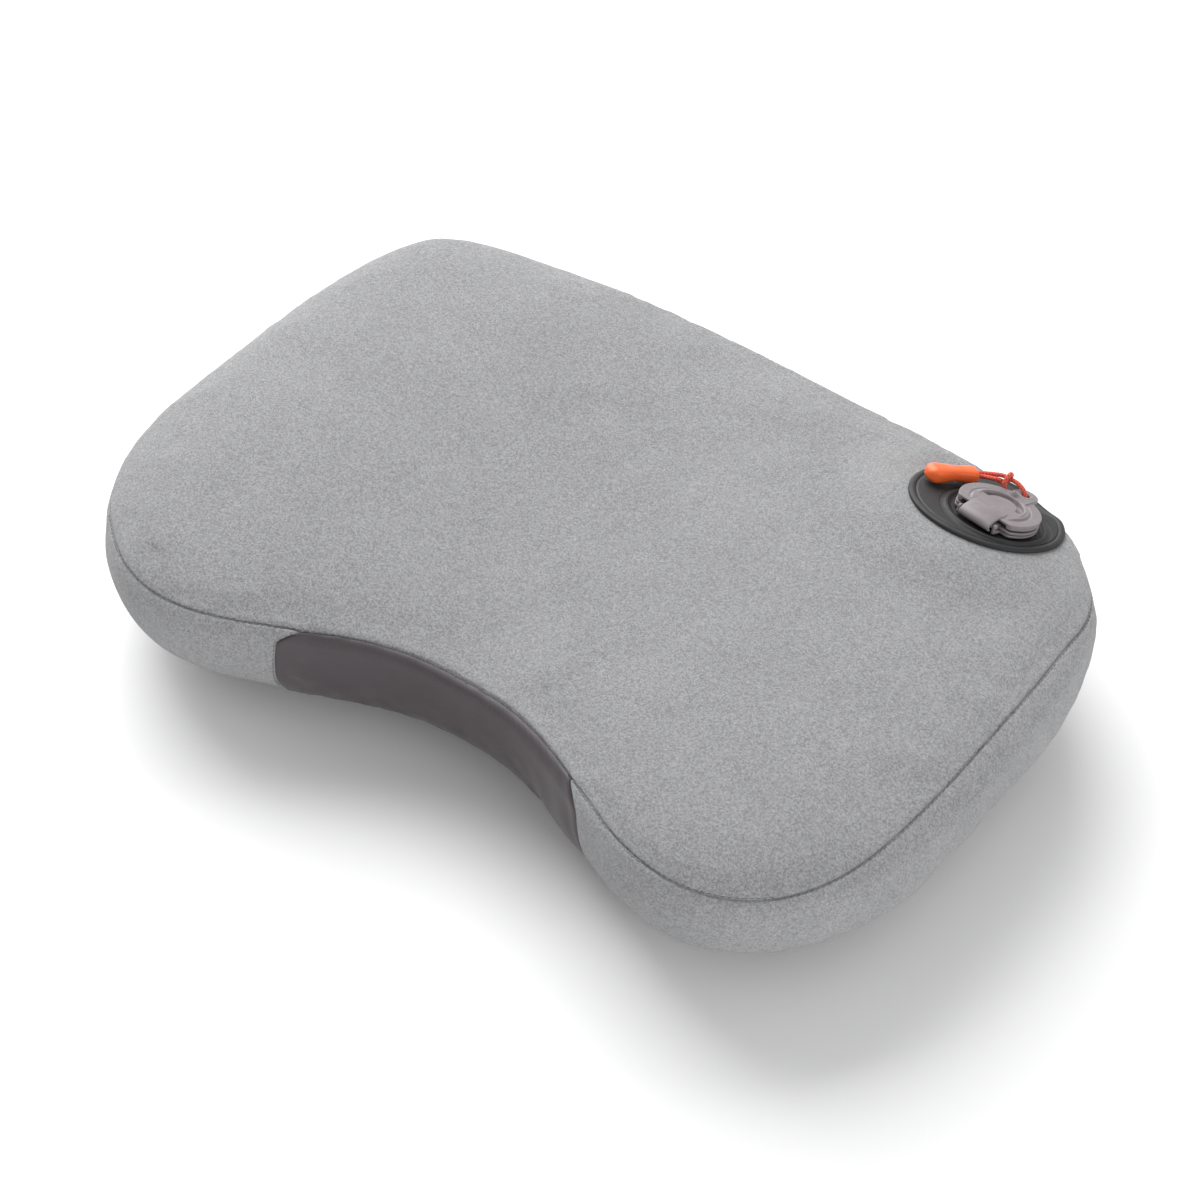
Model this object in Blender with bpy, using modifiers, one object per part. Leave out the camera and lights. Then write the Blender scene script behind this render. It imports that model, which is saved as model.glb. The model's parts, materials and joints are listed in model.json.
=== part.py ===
"""Inflatable camp pillow: a boxed fabric cover over a welded air bladder, with a flat two-stage valve.

Metres, +Z up.  X runs along the pillow, -Y is the side with the neck recess, +Y the back.
The origin is under the middle of the pillow, on the surface that it lies on.
"""
import math

import bmesh
import bpy
import numpy as np
from mathutils import Matrix, Vector
from mathutils.bvhtree import BVHTree

MM = 0.001

# ---- the inflated cushion
LENGTH = 0.410            # end to end, along X
DEPTH = 0.300             # front lobes to back, before the back's bow
CROWN_HEIGHT = 0.0876     # the top, before its middle sags
EQUATOR_HEIGHT = 0.0588   # the widest level
CROWN_SAG = 0.0202        # how far the middle of the top dips between the two lobes
SAG_REACH = 0.11          # half width of that dip along X
BACK_BOW = 0.0157         # how far the back edge bulges in the middle
TAPER = 0.0213            # share by which the back is longer than the front
FRONT_SQUARENESS = 2.95   # 2 is an ellipse, more is squarer
BACK_SQUARENESS = 3.72
TOP_ROUND = 0.656         # how fast the plan shrinks towards the crown
TOP_RISE = 0.716
BASE_ROUND = 0.692
BASE_RISE = 0.608
FOOT_LEVEL = 0.0035       # the base is flat below this level of the free shape

# ---- the neck recess
WAIST = 0.2349             # front of the recess to back, before the back's bow
RECESS_REACH = 0.1027     # half width along X
RECESS_FLANK = 2.32       # how square the recess is
RECESS_FADE = 1.54        # how fast it fades towards the back

# ---- seams, as latitudes on the cushion in radians
TOP_SEAM = 0.3875
TOP_SEAM_DIP = 0.182      # lower at the four corners
BASE_SEAM = -0.52
NECK_HALF_TOP = math.radians(12.65)    # the neck panel's half width round the plan
NECK_HALF_BASE = math.radians(17.4)
NECK_MIDDLE = math.radians(270)

# ---- fabric and film
COVER = 1.0 * MM          # the cover's cloth
FILM = 0.8 * MM           # the bladder's film
GAP = 0.3 * MM            # between pieces that touch
THREAD = 0.4 * MM         # diameter of the seam thread
SEAM_EASE = 0.35 * MM     # extra room beside the thread, where the cloth's edge leans over it
END_EASE = 0.45 * MM       # and more where a panel ends at the neck's seams
LAYER_EASE = 0.5 * MM     # extra room between the layers, whose facets cross where the skin bends
LAP = 0.10                # latitude by which the wall film reaches under the top and base films

# ---- internal ties
BAFFLE_X = (-0.060, 0.0, 0.060)
BAFFLE_END_CLEARANCE = 14 * MM
BAFFLE_HOLE_RADIUS = 8 * MM
BAFFLE_HOLE_PITCH = 55 * MM

# ---- valve: the disc on the back shoulder
DISC_END_INSET = 0.0766    # disc's middle from the end of the pillow, along X
DISC_BACK_INSET = 0.0487   # and from the back, along Y
DISC_SINK = 2.5 * MM      # how far the disc's flat lies below the free skin
DISC_NORMAL = Vector((0.06, 0.385, 0.921))
DISC_RADIUS = 35 * MM
DISC_THICKNESS = 1.4 * MM
FLAT_MARGIN = 2.0 * MM    # skin above the disc is pressed flat this far past its rim
FLAT_RADIUS = 27 * MM     # skin below the disc is lifted to it as far as here
FLAT_FADE = 40 * MM       # and is free again this much further out
FLAT_DEPTH = 40 * MM      # skin further than this below the flat is left alone
PORT_OFFSET = (6.5 * MM, -5.0 * MM)    # the port's axis from the disc's middle
HINGE_TURN = math.radians(-8)          # the hinge line from the disc's own X

# ---- valve: the seat, the two flaps and the check membrane, all round the port's axis
BORE_RADIUS = 9.5 * MM
NECK_WALL = 2.2 * MM
NECK_LENGTH = 5.0 * MM    # below the skin
STACK_RADIUS = 18.5 * MM  # seat, deflate flap and cap
SEAT_THICKNESS = 1.2 * MM
FLAP_THICKNESS = 1.2 * MM
CAP_HEIGHT = 2.7 * MM
CAP_PLATE = 1.5 * MM
CAP_SKIRT = 1.5 * MM
PLUG_WALL = 1.4 * MM
PLUG_LENGTH = 4.0 * MM     # below the flap's plate
CAP_LIFT = 0.8 * MM        # the cap's skirt over the flap
INFLATE_RADIUS = 6.0 * MM
MEMBRANE_THICKNESS = 0.5 * MM
MEMBRANE_INSET = 0.8 * MM  # inside the plug's outer wall
COLLAR_MARGIN = 5.0 * MM   # from the stack's rim to the collar's
COLLAR_WIDTH = 2.0 * MM
COLLAR_HEIGHT = 0.8 * MM
WELD_RING_WIDTH = 6.0 * MM
WELD_RING_THICKNESS = 1.2 * MM
EDGE_BEVEL = 0.5 * MM      # on the rims of the disc, the collar and the cap

# ---- valve: the folding strap
HINGE_INSET = 2.5 * MM     # hinge line from the stack's rim
STRAP_WIDTH = 16 * MM
STRAP_OUTER = 3.2 * MM
STRAP_INNER = 2.2 * MM
STRAP_END = math.radians(250)          # where the fold ends, from +Y over the top
CORE_RADIUS = 1.0 * MM
EAR_THICKNESS = 1.4 * MM
EAR_RADIUS = 1.6 * MM
CORE_OVERHANG = 0.4 * MM   # the core past each side of the strap
LEAF_BELOW = 0.45 * MM     # the flap's hinge leaf, from the hinge line down
LEAF_ABOVE = 0.35 * MM     # and up
STEP_BACK = 0.3 * MM       # the riser behind the leaf, from the plate's cut edge
STEP_SINK = 0.6 * MM       # and down into the plate
BITE = 2.0 * MM            # how far a joined block reaches into its plate
STRAP_STEPS = 14           # facets round the strap's fold

# ---- valve: the tongue, its hole, the cord and the grip
TONGUE_REACH = 7.0 * MM   # past the cap's rim
TONGUE_HALF = 5.6 * MM
TONGUE_HOLE = 2.0 * MM    # radius
RIB_LENGTH = 9 * MM
RIB_WIDTH = 0.7 * MM
RIB_HEIGHT = 0.5 * MM
RIB_PLACES = (11.6 * MM, 13.2 * MM, 14.8 * MM)
CORD = 2.0 * MM           # diameter
GRIP_LENGTH = 25.5 * MM
GRIP_WIDTH = 9.4 * MM
GRIP_HEIGHT = 7.2 * MM
GRIP_WAIST = 0.80         # share of the width left in the middle
GRIP_MOUTH = (-24.6 * MM, 16.4 * MM)   # the cord end, in the port's own X and Y
GRIP_TURN = math.radians(247)          # which way the grip points
SOCKET_DEPTH = 5.0 * MM
STRAND_SPACE = 1.15 * MM  # each strand from the pair's middle

# ---- resolution
NECK_COLUMNS = 8
COLUMN_PITCH = 8.54 * MM   # sets how many columns the rest has
REST_COLUMNS = round(LENGTH / COLUMN_PITCH)
ROUND = 32


# ---------------------------------------------------------------- the cushion's skin
def free_skin(theta, lat):
    """The inflated skin before the valve flattens it; arrays in, (..., 3) out."""
    cos_t, sin_t = np.cos(theta), np.sin(theta)
    square = np.where(sin_t < 0, FRONT_SQUARENESS, BACK_SQUARENESS)
    across = np.sign(cos_t) * np.abs(cos_t) ** (2 / square)
    along = np.sign(sin_t) * np.abs(sin_t) ** (2 / square)
    sin_l, cos_l = np.abs(np.sin(lat)), np.abs(np.cos(lat))
    top = lat >= 0
    rho = np.where(top, cos_l ** TOP_ROUND, cos_l ** BASE_ROUND)
    rise = np.where(top, sin_l ** TOP_RISE, sin_l ** BASE_RISE)
    x = LENGTH / 2 * across * rho * (1 + TAPER * along * rho)
    y = DEPTH / 2 * along * rho
    sag = rise * CROWN_SAG * np.exp(-(x / SAG_REACH) ** 2)
    z_top = EQUATOR_HEIGHT + (CROWN_HEIGHT - EQUATOR_HEIGHT) * rise - sag
    z_base = np.maximum(EQUATOR_HEIGHT * (1 - rise) - FOOT_LEVEL, 0)
    z = np.where(top, z_top - FOOT_LEVEL, z_base)
    front = np.clip((1 - y / (DEPTH / 2)) / 2, 0, 1)
    back = np.clip((1 + y / (DEPTH / 2)) / 2, 0, 1)
    y = y + (DEPTH - WAIST) * np.exp(-np.abs(x / RECESS_REACH) ** RECESS_FLANK) * front ** RECESS_FADE
    y = y + BACK_BOW * (1 - (x / (LENGTH / 2)) ** 2) * back
    return np.stack([x, y, z], axis=-1)


def skin_middle():
    """X and Y of the middle of the free skin, so that the origin can stand there."""
    theta, lat = np.meshgrid(np.linspace(0, 2 * np.pi, 721), np.linspace(-0.6, 0.6, 61))
    points = free_skin(theta, lat)
    low, high = points.min(axis=(0, 1)), points.max(axis=(0, 1))
    return np.array([(low[0] + high[0]) / 2, (low[1] + high[1]) / 2, 0.0])


MIDDLE = skin_middle()


def disc_origin():
    """The middle of the valve's disc: on the skin at its insets, sunk a little."""
    theta, lat = np.meshgrid(np.linspace(0, np.pi, 1441), np.linspace(0.1, 1.5, 561))
    points = free_skin(theta, lat) - MIDDLE
    disc_x = LENGTH / 2 - DISC_END_INSET
    disc_y = DEPTH / 2 - DISC_BACK_INSET
    miss = np.hypot(points[..., 0] - disc_x, points[..., 1] - disc_y)
    nearest = points[np.unravel_index(miss.argmin(), miss.shape)]
    return Vector(nearest) - DISC_NORMAL.normalized() * DISC_SINK


NORMAL = DISC_NORMAL.normalized()
ORIGIN = disc_origin()


def skin(theta, lat):
    """The skin with the flat that carries the valve's disc."""
    points = free_skin(theta, lat) - MIDDLE
    normal, origin = np.array(NORMAL), np.array(ORIGIN)
    height = (points - origin) @ normal
    sideways = np.linalg.norm(points - origin - height[..., None] * normal, axis=-1)
    flat = np.where(height > 0, DISC_RADIUS + FLAT_MARGIN, FLAT_RADIUS)
    share = np.clip((sideways - flat) / FLAT_FADE, 0, 1)
    weight = 1 - share * share * (3 - 2 * share)
    weight = weight * np.clip((height + FLAT_DEPTH) / (FLAT_DEPTH / 2), 0, 1)
    return points - (weight * height)[..., None] * normal


def inner_skin(theta, lat, depth):
    """The skin moved inwards by depth, along its own normal."""
    step = 0.004
    safe = np.clip(lat, -math.pi / 2 + 0.03, math.pi / 2 - 0.03)
    along_t = skin(theta + step, safe) - skin(theta - step, safe)
    along_l = skin(theta, safe + step) - skin(theta, safe - step)
    normal = np.cross(along_t, along_l)
    normal /= np.linalg.norm(normal, axis=-1, keepdims=True)
    return skin(theta, lat) - depth * normal


def neck_half(level):
    """Half width of the neck panel round the plan; level is 0 at the base seam, 1 at the top seam."""
    return NECK_HALF_BASE + (NECK_HALF_TOP - NECK_HALF_BASE) * level


def neck_theta(share, level):
    return NECK_MIDDLE + share * neck_half(level)


def rest_theta(share, level):
    return NECK_MIDDLE + neck_half(level) + share * (2 * np.pi - 2 * neck_half(level))


def rest_shares():
    """Shares of the way round, from one end of the neck panel to the other, evenly spaced in length."""
    fine = np.linspace(0, 1, 2001)
    points = free_skin(rest_theta(fine, 1), fine * 0)
    steps = np.linalg.norm(np.diff(points, axis=0), axis=1)
    run = np.concatenate([[0], np.cumsum(steps)])
    return np.interp(np.linspace(0, run[-1], REST_COLUMNS + 1), run, fine)


REST_SHARES = rest_shares()
NECK_SHARES = np.linspace(-1, 1, NECK_COLUMNS + 1)


def all_round_theta(level):
    """Plan angles of every column at this level, once round, ending where it started."""
    return np.concatenate([neck_theta(NECK_SHARES[:-1], level), rest_theta(REST_SHARES, level)])


def top_seam(theta):
    return TOP_SEAM - TOP_SEAM_DIP * np.sin(2 * theta) ** 2


def lat_step(theta, lat, distance):
    """The change of latitude that moves this far over the skin."""
    step = 0.002
    moved = np.linalg.norm(skin(theta, lat + step) - skin(theta, lat - step), axis=-1) / (2 * step)
    return distance / moved


# ---------------------------------------------------------------- scene helpers
def clear_scene():
    for thing in list(bpy.data.objects):
        bpy.data.objects.remove(thing, do_unlink=True)
    for name in ("camp_pillow", "cutters"):
        old = bpy.data.collections.get(name)
        if old:
            bpy.data.collections.remove(old)


def make_collection(name):
    collection = bpy.data.collections.new(name)
    bpy.context.scene.collection.children.link(collection)
    return collection


def make_material(name, colour, roughness):
    material = bpy.data.materials.new(name)
    material.use_nodes = True
    shader = material.node_tree.nodes["Principled BSDF"]
    shader.inputs["Base Color"].default_value = (*colour, 1)
    shader.inputs["Roughness"].default_value = roughness
    shader.inputs["Metallic"].default_value = 0.0
    return material


def add_object(name, data, material=None, collection=None, parent=None):
    thing = bpy.data.objects.new(name, data)
    (collection or PARTS).objects.link(thing)
    if material:
        data.materials.append(material)
    if parent:
        thing.parent = parent
    return thing


def as_cutter(thing):
    """A guide that only shapes other pieces."""
    for collection in list(thing.users_collection):
        collection.objects.unlink(thing)
    CUTTERS.objects.link(thing)
    thing.hide_render = True
    thing.display_type = "WIRE"
    return thing


def boolean(thing, other, operation):
    modifier = thing.modifiers.new(operation.lower(), "BOOLEAN")
    modifier.operation = operation
    modifier.solver = "EXACT"
    modifier.object = other


# ---------------------------------------------------------------- cloth and film
def sheet(name, points, thickness, material, closed_round):
    """An open grid of points, made solid inwards."""
    columns, rows = points.shape[0], points.shape[1]
    mesh_maker = bmesh.new()
    bmesh.ops.create_grid(mesh_maker, x_segments=columns - 1, y_segments=rows - 1, size=1)
    for vertex in mesh_maker.verts:
        column = round((vertex.co.x + 1) / 2 * (columns - 1))
        row = round((vertex.co.y + 1) / 2 * (rows - 1))
        vertex.co = Vector(points[column, row])
    if closed_round:
        bmesh.ops.remove_doubles(mesh_maker, verts=mesh_maker.verts, dist=1e-6)
    mesh = bpy.data.meshes.new(name)
    mesh_maker.to_mesh(mesh)
    mesh_maker.free()
    mesh.shade_smooth()
    thing = add_object(name, mesh, material)
    solid = thing.modifiers.new("thickness", "SOLIDIFY")
    solid.thickness = thickness
    solid.offset = -1
    return thing


def cap_points(depth, low_trim, shares, pole):
    """Points of a crown or base panel between its seam and its pole."""
    theta = all_round_theta(1 if pole > 0 else 0)
    seam = top_seam(theta) if pole > 0 else np.full_like(theta, BASE_SEAM)
    start = seam + pole * lat_step(theta, seam, low_trim)
    rows = [inner_skin(theta, start + (pole * math.pi / 2 - start) * share, depth) for share in shares]
    rows[-1] = np.repeat(rows[-1].mean(axis=0, keepdims=True), len(theta), axis=0)
    if pole < 0:
        rows = rows[::-1]
    return np.stack(rows, axis=1)


def band_row(theta, level, trim):
    """Latitudes at this level of the band between the seams, less a trim at each seam."""
    high = top_seam(theta)
    high = high - lat_step(theta, high, trim)
    low = np.full_like(theta, BASE_SEAM)
    low = low + lat_step(theta, low, trim)
    return low + (high - low) * level


def band_points(theta_of, shares, depth, trim, end_trim):
    """Points of a band between the base seam and the top seam, trimmed at the seams and at both ends."""
    rows = []
    for level in BAND_LEVELS:
        theta = theta_of(shares, level)
        row = inner_skin(theta, band_row(theta, level, trim), depth)
        if end_trim:
            for end, inward in ((0, 1), (-1, -2)):
                ahead = row[inward] - row[end]
                row[end] = row[end] + ahead / np.linalg.norm(ahead) * end_trim
        rows.append(row)
    return np.stack(rows, axis=1)


CROWN_ROWS = (0.0, 0.10, 0.22, 0.35, 0.50, 0.67, 0.84, 1.0)
FOOT_ROWS = (0.0, 0.12, 0.30, 0.60, 1.0)
BAND_LEVELS = (0.0, 0.2, 0.4, 0.6, 0.8, 1.0)
SEAM_TRIM = THREAD / 2 + GAP + SEAM_EASE
END_TRIM = SEAM_TRIM + END_EASE


def make_cover():
    crown = sheet("top_panel", cap_points(0, SEAM_TRIM, CROWN_ROWS, 1), COVER, BRUSHED, True)
    sheet("base_panel", cap_points(0, SEAM_TRIM, FOOT_ROWS, -1), COVER, TAFFETA, True)
    band = band_points(rest_theta, REST_SHARES, 0, SEAM_TRIM, END_TRIM)
    sheet("side_band", band, COVER, BRUSHED, False)
    neck = band_points(neck_theta, NECK_SHARES, 0, SEAM_TRIM, END_TRIM)
    sheet("neck_panel", neck, COVER, TAFFETA, False)
    return crown


def thread_curve(name, points, closed):
    curve = bpy.data.curves.new(name, "CURVE")
    curve.dimensions = "3D"
    curve.bevel_depth = THREAD / 2
    curve.bevel_resolution = 0
    curve.use_fill_caps = not closed
    spline = curve.splines.new("POLY")
    spline.points.add(len(points) - 1)
    for point, place in zip(spline.points, points):
        point.co = (*place, 1)
    spline.use_cyclic_u = closed
    return add_object(name, curve, THREAD_COLOUR)


def make_threads():
    """The lockstitch thread lies in each seam, in the middle of the cloth."""
    middle = COVER / 2
    theta = all_round_theta(1)[:-1]
    thread_curve("top_seam_thread", inner_skin(theta, top_seam(theta), middle), True)
    theta = all_round_theta(0)[:-1]
    thread_curve("base_seam_thread", inner_skin(theta, np.full_like(theta, BASE_SEAM), middle), True)
    for name, share in (("neck_seam_thread_left", -1.0), ("neck_seam_thread_right", 1.0)):
        rows = band_points(neck_theta, np.array([share]), middle, 2 * SEAM_TRIM, 0)
        thread_curve(name, rows[0], False)


def make_bladder():
    outer = COVER + GAP + LAYER_EASE
    crown = sheet("bladder_top_film", cap_points(outer, 0, CROWN_ROWS, 1), FILM, FILM_COLOUR, True)
    foot = sheet("bladder_base_film", cap_points(outer, 0, FOOT_ROWS, -1), FILM, FILM_COLOUR, True)
    depth = outer + FILM + GAP + LAYER_EASE
    rows = []
    for level in BAND_LEVELS:
        theta = all_round_theta(level)
        rows.append(inner_skin(theta, band_row(theta, level, SEAM_TRIM), depth))
    foot_theta, crown_theta = all_round_theta(0), all_round_theta(1)
    rows.insert(0, inner_skin(foot_theta, np.full_like(foot_theta, BASE_SEAM - LAP), depth))
    rows.append(inner_skin(crown_theta, top_seam(crown_theta) + LAP, depth))
    wall = sheet("bladder_wall_film", np.stack(rows, axis=1), FILM, FILM_COLOUR, True)
    return crown, wall, foot


# ---------------------------------------------------------------- internal ties
def evaluated_tree(thing):
    bpy.context.view_layer.update()
    graph = bpy.context.evaluated_depsgraph_get()
    return BVHTree.FromObject(thing, graph)


def make_baffles(films):
    """Upright film ties between the top and base films, with round holes for the air."""
    trees = [evaluated_tree(film) for film in films]
    for number, x in enumerate(BAFFLE_X, start=1):
        centre = Vector((x, 0, EQUATOR_HEIGHT / 2))
        front = BAFFLE_END_CLEARANCE - hit_distance(trees, centre, Vector((0, -1, 0)))
        back = hit_distance(trees, centre, Vector((0, 1, 0))) - BAFFLE_END_CLEARANCE
        ys = np.linspace(front, back, 15)
        points = np.zeros((len(ys), 2, 3))
        near = (ys[1] - ys[0]) / 2
        for index, y in enumerate(ys):
            seat = Vector((x, y, EQUATOR_HEIGHT / 2))
            points[index, 0] = (x, y, seat.z - reach(trees, seat, -1, near))
            points[index, 1] = (x, y, seat.z + reach(trees, seat, 1, near))
        tie = sheet(f"baffle_{number}", points, FILM, FILM_COLOUR, False)
        tie.modifiers["thickness"].offset = 0
        middle = (front + back) / 2
        for step in (-1, 0, 1):
            hole = cylinder(f"baffle_{number}_hole_{step + 1}", BAFFLE_HOLE_RADIUS, -5 * MM, 5 * MM, 16)
            hole.rotation_euler = (0, math.pi / 2, 0)
            hole.location = (x, middle + step * BAFFLE_HOLE_PITCH, EQUATOR_HEIGHT / 2)
            boolean(tie, as_cutter(hole), "DIFFERENCE")


def hit_distance(trees, start, direction):
    hits = [tree.ray_cast(start, direction)[3] for tree in trees]
    return min(hit for hit in hits if hit is not None)


def reach(trees, seat, side, near):
    """How far a tie reaches up or down, keeping its gap over its own thickness."""
    spots = [seat + Vector((dx, dy, 0)) for dx in (-FILM, 0, FILM) for dy in (-near, 0, near)]
    return min(hit_distance(trees, spot, Vector((0, 0, side))) for spot in spots) - GAP


# ---------------------------------------------------------------- turned and round pieces
def cylinder(name, radius, low, high, segments=ROUND, parent=None, material=None):
    mesh_maker = bmesh.new()
    bmesh.ops.create_cone(mesh_maker, cap_ends=True, segments=segments,
                          radius1=radius, radius2=radius, depth=high - low)
    bmesh.ops.translate(mesh_maker, verts=mesh_maker.verts, vec=(0, 0, (low + high) / 2))
    mesh = bpy.data.meshes.new(name)
    mesh_maker.to_mesh(mesh)
    mesh_maker.free()
    return add_object(name, mesh, material, parent=parent)


def box(name, low, high, parent=None, material=None):
    mesh_maker = bmesh.new()
    bmesh.ops.create_cube(mesh_maker, size=1)
    size = Vector(high) - Vector(low)
    bmesh.ops.scale(mesh_maker, verts=mesh_maker.verts, vec=size)
    bmesh.ops.translate(mesh_maker, verts=mesh_maker.verts, vec=Vector(low) + size / 2)
    mesh = bpy.data.meshes.new(name)
    mesh_maker.to_mesh(mesh)
    mesh_maker.free()
    return add_object(name, mesh, material, parent=parent)


def turned(name, profile, material, parent, segments=ROUND):
    """A closed ring profile of (radius, height), outer side running down, turned about Z."""
    mesh_maker = bmesh.new()
    corners = [mesh_maker.verts.new((radius, 0, height)) for radius, height in profile]
    closed = min(radius for radius, height in profile) > 0
    pairs = list(zip(corners, corners[1:] + corners[:1]))
    for first, second in pairs if closed else pairs[:-1]:
        mesh_maker.edges.new((first, second))
    mesh = bpy.data.meshes.new(name)
    mesh_maker.to_mesh(mesh)
    mesh_maker.free()
    thing = add_object(name, mesh, material, parent=parent)
    screw = thing.modifiers.new("turn", "SCREW")
    screw.axis = "Z"
    screw.steps = segments
    screw.render_steps = segments
    screw.use_merge_vertices = True
    screw.merge_threshold = 1e-5
    screw.use_smooth_shade = False
    return thing


def along_x(name, radius, half_length, y, z, parent, segments=16):
    """A bar along the hinge line."""
    bar = cylinder(name, radius, -half_length, half_length, segments, parent=parent)
    bar.matrix_local = Matrix.Translation((0, y, z)) @ Matrix.Rotation(math.pi / 2, 4, "Y")
    return bar


# ---------------------------------------------------------------- the valve
HINGE_DISTANCE = STACK_RADIUS - HINGE_INSET
FLANGE_LOW = GAP
FLANGE_TOP = FLANGE_LOW + DISC_THICKNESS
SEAT_LOW = FLANGE_TOP + GAP
SEAT_TOP = SEAT_LOW + SEAT_THICKNESS
FLAP_LOW = SEAT_TOP + GAP
FLAP_TOP = FLAP_LOW + FLAP_THICKNESS
CAP_LOW = FLAP_TOP + CAP_LIFT
CAP_TOP = CAP_LOW + CAP_HEIGHT
PLATE_LOW = CAP_TOP - CAP_PLATE
HINGE_HEIGHT = CAP_TOP - STRAP_OUTER
PLATE_FRONT = -HINGE_DISTANCE + STRAP_OUTER + 2 * GAP
NECK_RADIUS = BORE_RADIUS + NECK_WALL
TONGUE_LENGTH = STACK_RADIUS + TONGUE_REACH
COLLAR_RADIUS = STACK_RADIUS + COLLAR_MARGIN
PLUG_RADIUS = BORE_RADIUS - GAP
PLUG_LOW = FLAP_LOW - PLUG_LENGTH
CORE_HALF = STRAP_WIDTH / 2 + CORE_OVERHANG


def valve_frames():
    """An empty on the disc's middle, and one on the port's axis whose X is the hinge line."""
    across = (Vector((1, 0, 0)) - NORMAL * NORMAL.x).normalized()
    up = NORMAL.cross(across)
    turn = Matrix((across, up, NORMAL)).transposed().to_4x4()
    disc = add_object("disc_frame", None)
    disc.matrix_world = Matrix.Translation(ORIGIN) @ turn
    port = add_object("port_frame", None)
    offset = Matrix.Translation((*PORT_OFFSET, 0)) @ Matrix.Rotation(HINGE_TURN, 4, "Z")
    port.matrix_world = disc.matrix_world @ offset
    bpy.context.view_layer.update()
    return disc, port


def make_flange(disc, port):
    """The dark disc welded to the cover, with a raised collar round the port."""
    profile = [(0, FLANGE_TOP), (DISC_RADIUS - EDGE_BEVEL, FLANGE_TOP),
               (DISC_RADIUS, FLANGE_TOP - EDGE_BEVEL),
               (DISC_RADIUS, FLANGE_LOW), (0, FLANGE_LOW)]
    flange = turned("valve_flange", profile, CHARCOAL, disc)
    collar_top = FLANGE_TOP + COLLAR_HEIGHT
    inner = COLLAR_RADIUS - COLLAR_WIDTH
    middle = (FLANGE_LOW + FLANGE_TOP) / 2
    ring = [(COLLAR_RADIUS, middle), (inner, middle),
            (inner + EDGE_BEVEL, collar_top), (COLLAR_RADIUS - EDGE_BEVEL, collar_top)]
    boolean(flange, as_cutter(turned("collar_guide", ring, None, port)), "UNION")
    hole = cylinder("flange_hole", NECK_RADIUS + GAP, -10 * MM, 10 * MM, parent=port)
    boolean(flange, as_cutter(hole), "DIFFERENCE")


def front_cut(thing, label, port):
    """Trims a round plate along the hinge line, so that the fold can turn in front of it."""
    low = (-DISC_RADIUS, -DISC_RADIUS, FLANGE_TOP)
    high = (DISC_RADIUS, PLATE_FRONT, CAP_TOP + MM)
    boolean(thing, as_cutter(box(label, low, high, parent=port)), "DIFFERENCE")


def make_seat(port):
    """The grey seat: a plate on the disc and a neck down through the cover and the film."""
    profile = [(BORE_RADIUS, SEAT_TOP), (STACK_RADIUS, SEAT_TOP), (STACK_RADIUS, SEAT_LOW),
               (NECK_RADIUS, SEAT_LOW), (NECK_RADIUS, -NECK_LENGTH), (BORE_RADIUS, -NECK_LENGTH)]
    seat = turned("valve_seat", profile, GREY, port)
    front_cut(seat, "seat_front", port)
    for side in (-1, 1):
        near = CORE_HALF + GAP
        xs = sorted((side * near, side * (near + EAR_THICKNESS)))
        arm_low = (xs[0], -HINGE_DISTANCE, SEAT_LOW)
        arm_high = (xs[1], PLATE_FRONT + BITE, SEAT_TOP)
        boolean(seat, as_cutter(box(f"ear_arm_{side + 1}", arm_low, arm_high, parent=port)), "UNION")
        post_low = (xs[0], -HINGE_DISTANCE - EAR_RADIUS * 0.8, SEAT_LOW + 0.1 * MM)
        post_high = (xs[1], -HINGE_DISTANCE + EAR_RADIUS * 0.8, HINGE_HEIGHT)
        boolean(seat, as_cutter(box(f"ear_post_{side + 1}", post_low, post_high, parent=port)), "UNION")
        boss = cylinder(f"ear_boss_{side + 1}", EAR_RADIUS, xs[0], xs[1], 16, parent=port)
        place = Matrix.Translation((0, -HINGE_DISTANCE, HINGE_HEIGHT))
        boss.matrix_local = place @ Matrix.Rotation(math.pi / 2, 4, "Y")
        boolean(seat, as_cutter(boss), "UNION")


def make_weld_ring(port):
    """Clamps the film to the neck from inside the bladder."""
    film_low = -(COVER + GAP + LAYER_EASE + FILM)
    high = film_low - GAP
    low = high - WELD_RING_THICKNESS
    inner = NECK_RADIUS + GAP
    outer = inner + WELD_RING_WIDTH
    turned("valve_weld_ring", [(inner, high), (outer, high), (outer, low), (inner, low)], GREY, port)


def make_flap(port):
    """The deflate flap: a plate with a plug that fills the seat's bore, and the inflation port through it."""
    inner = PLUG_RADIUS - PLUG_WALL
    profile = [(INFLATE_RADIUS, FLAP_TOP), (STACK_RADIUS, FLAP_TOP), (STACK_RADIUS, FLAP_LOW),
               (PLUG_RADIUS, FLAP_LOW), (PLUG_RADIUS, PLUG_LOW), (inner, PLUG_LOW),
               (inner, FLAP_LOW), (INFLATE_RADIUS, FLAP_LOW)]
    flap = turned("deflate_flap", profile, GREY, port)
    front_cut(flap, "flap_front", port)
    neck_low = (-CORE_HALF, -HINGE_DISTANCE, HINGE_HEIGHT - LEAF_BELOW)
    neck_high = (CORE_HALF, PLATE_FRONT + BITE, HINGE_HEIGHT + LEAF_ABOVE)
    boolean(flap, as_cutter(box("flap_neck", neck_low, neck_high, parent=port)), "UNION")
    step_low = (-CORE_HALF, PLATE_FRONT + STEP_BACK, FLAP_TOP - STEP_SINK)
    step_high = (CORE_HALF, PLATE_FRONT + BITE, HINGE_HEIGHT)
    boolean(flap, as_cutter(box("flap_step", step_low, step_high, parent=port)), "UNION")
    core = along_x("flap_core", CORE_RADIUS, CORE_HALF, -HINGE_DISTANCE, HINGE_HEIGHT, port)
    boolean(flap, as_cutter(core), "UNION")


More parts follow.
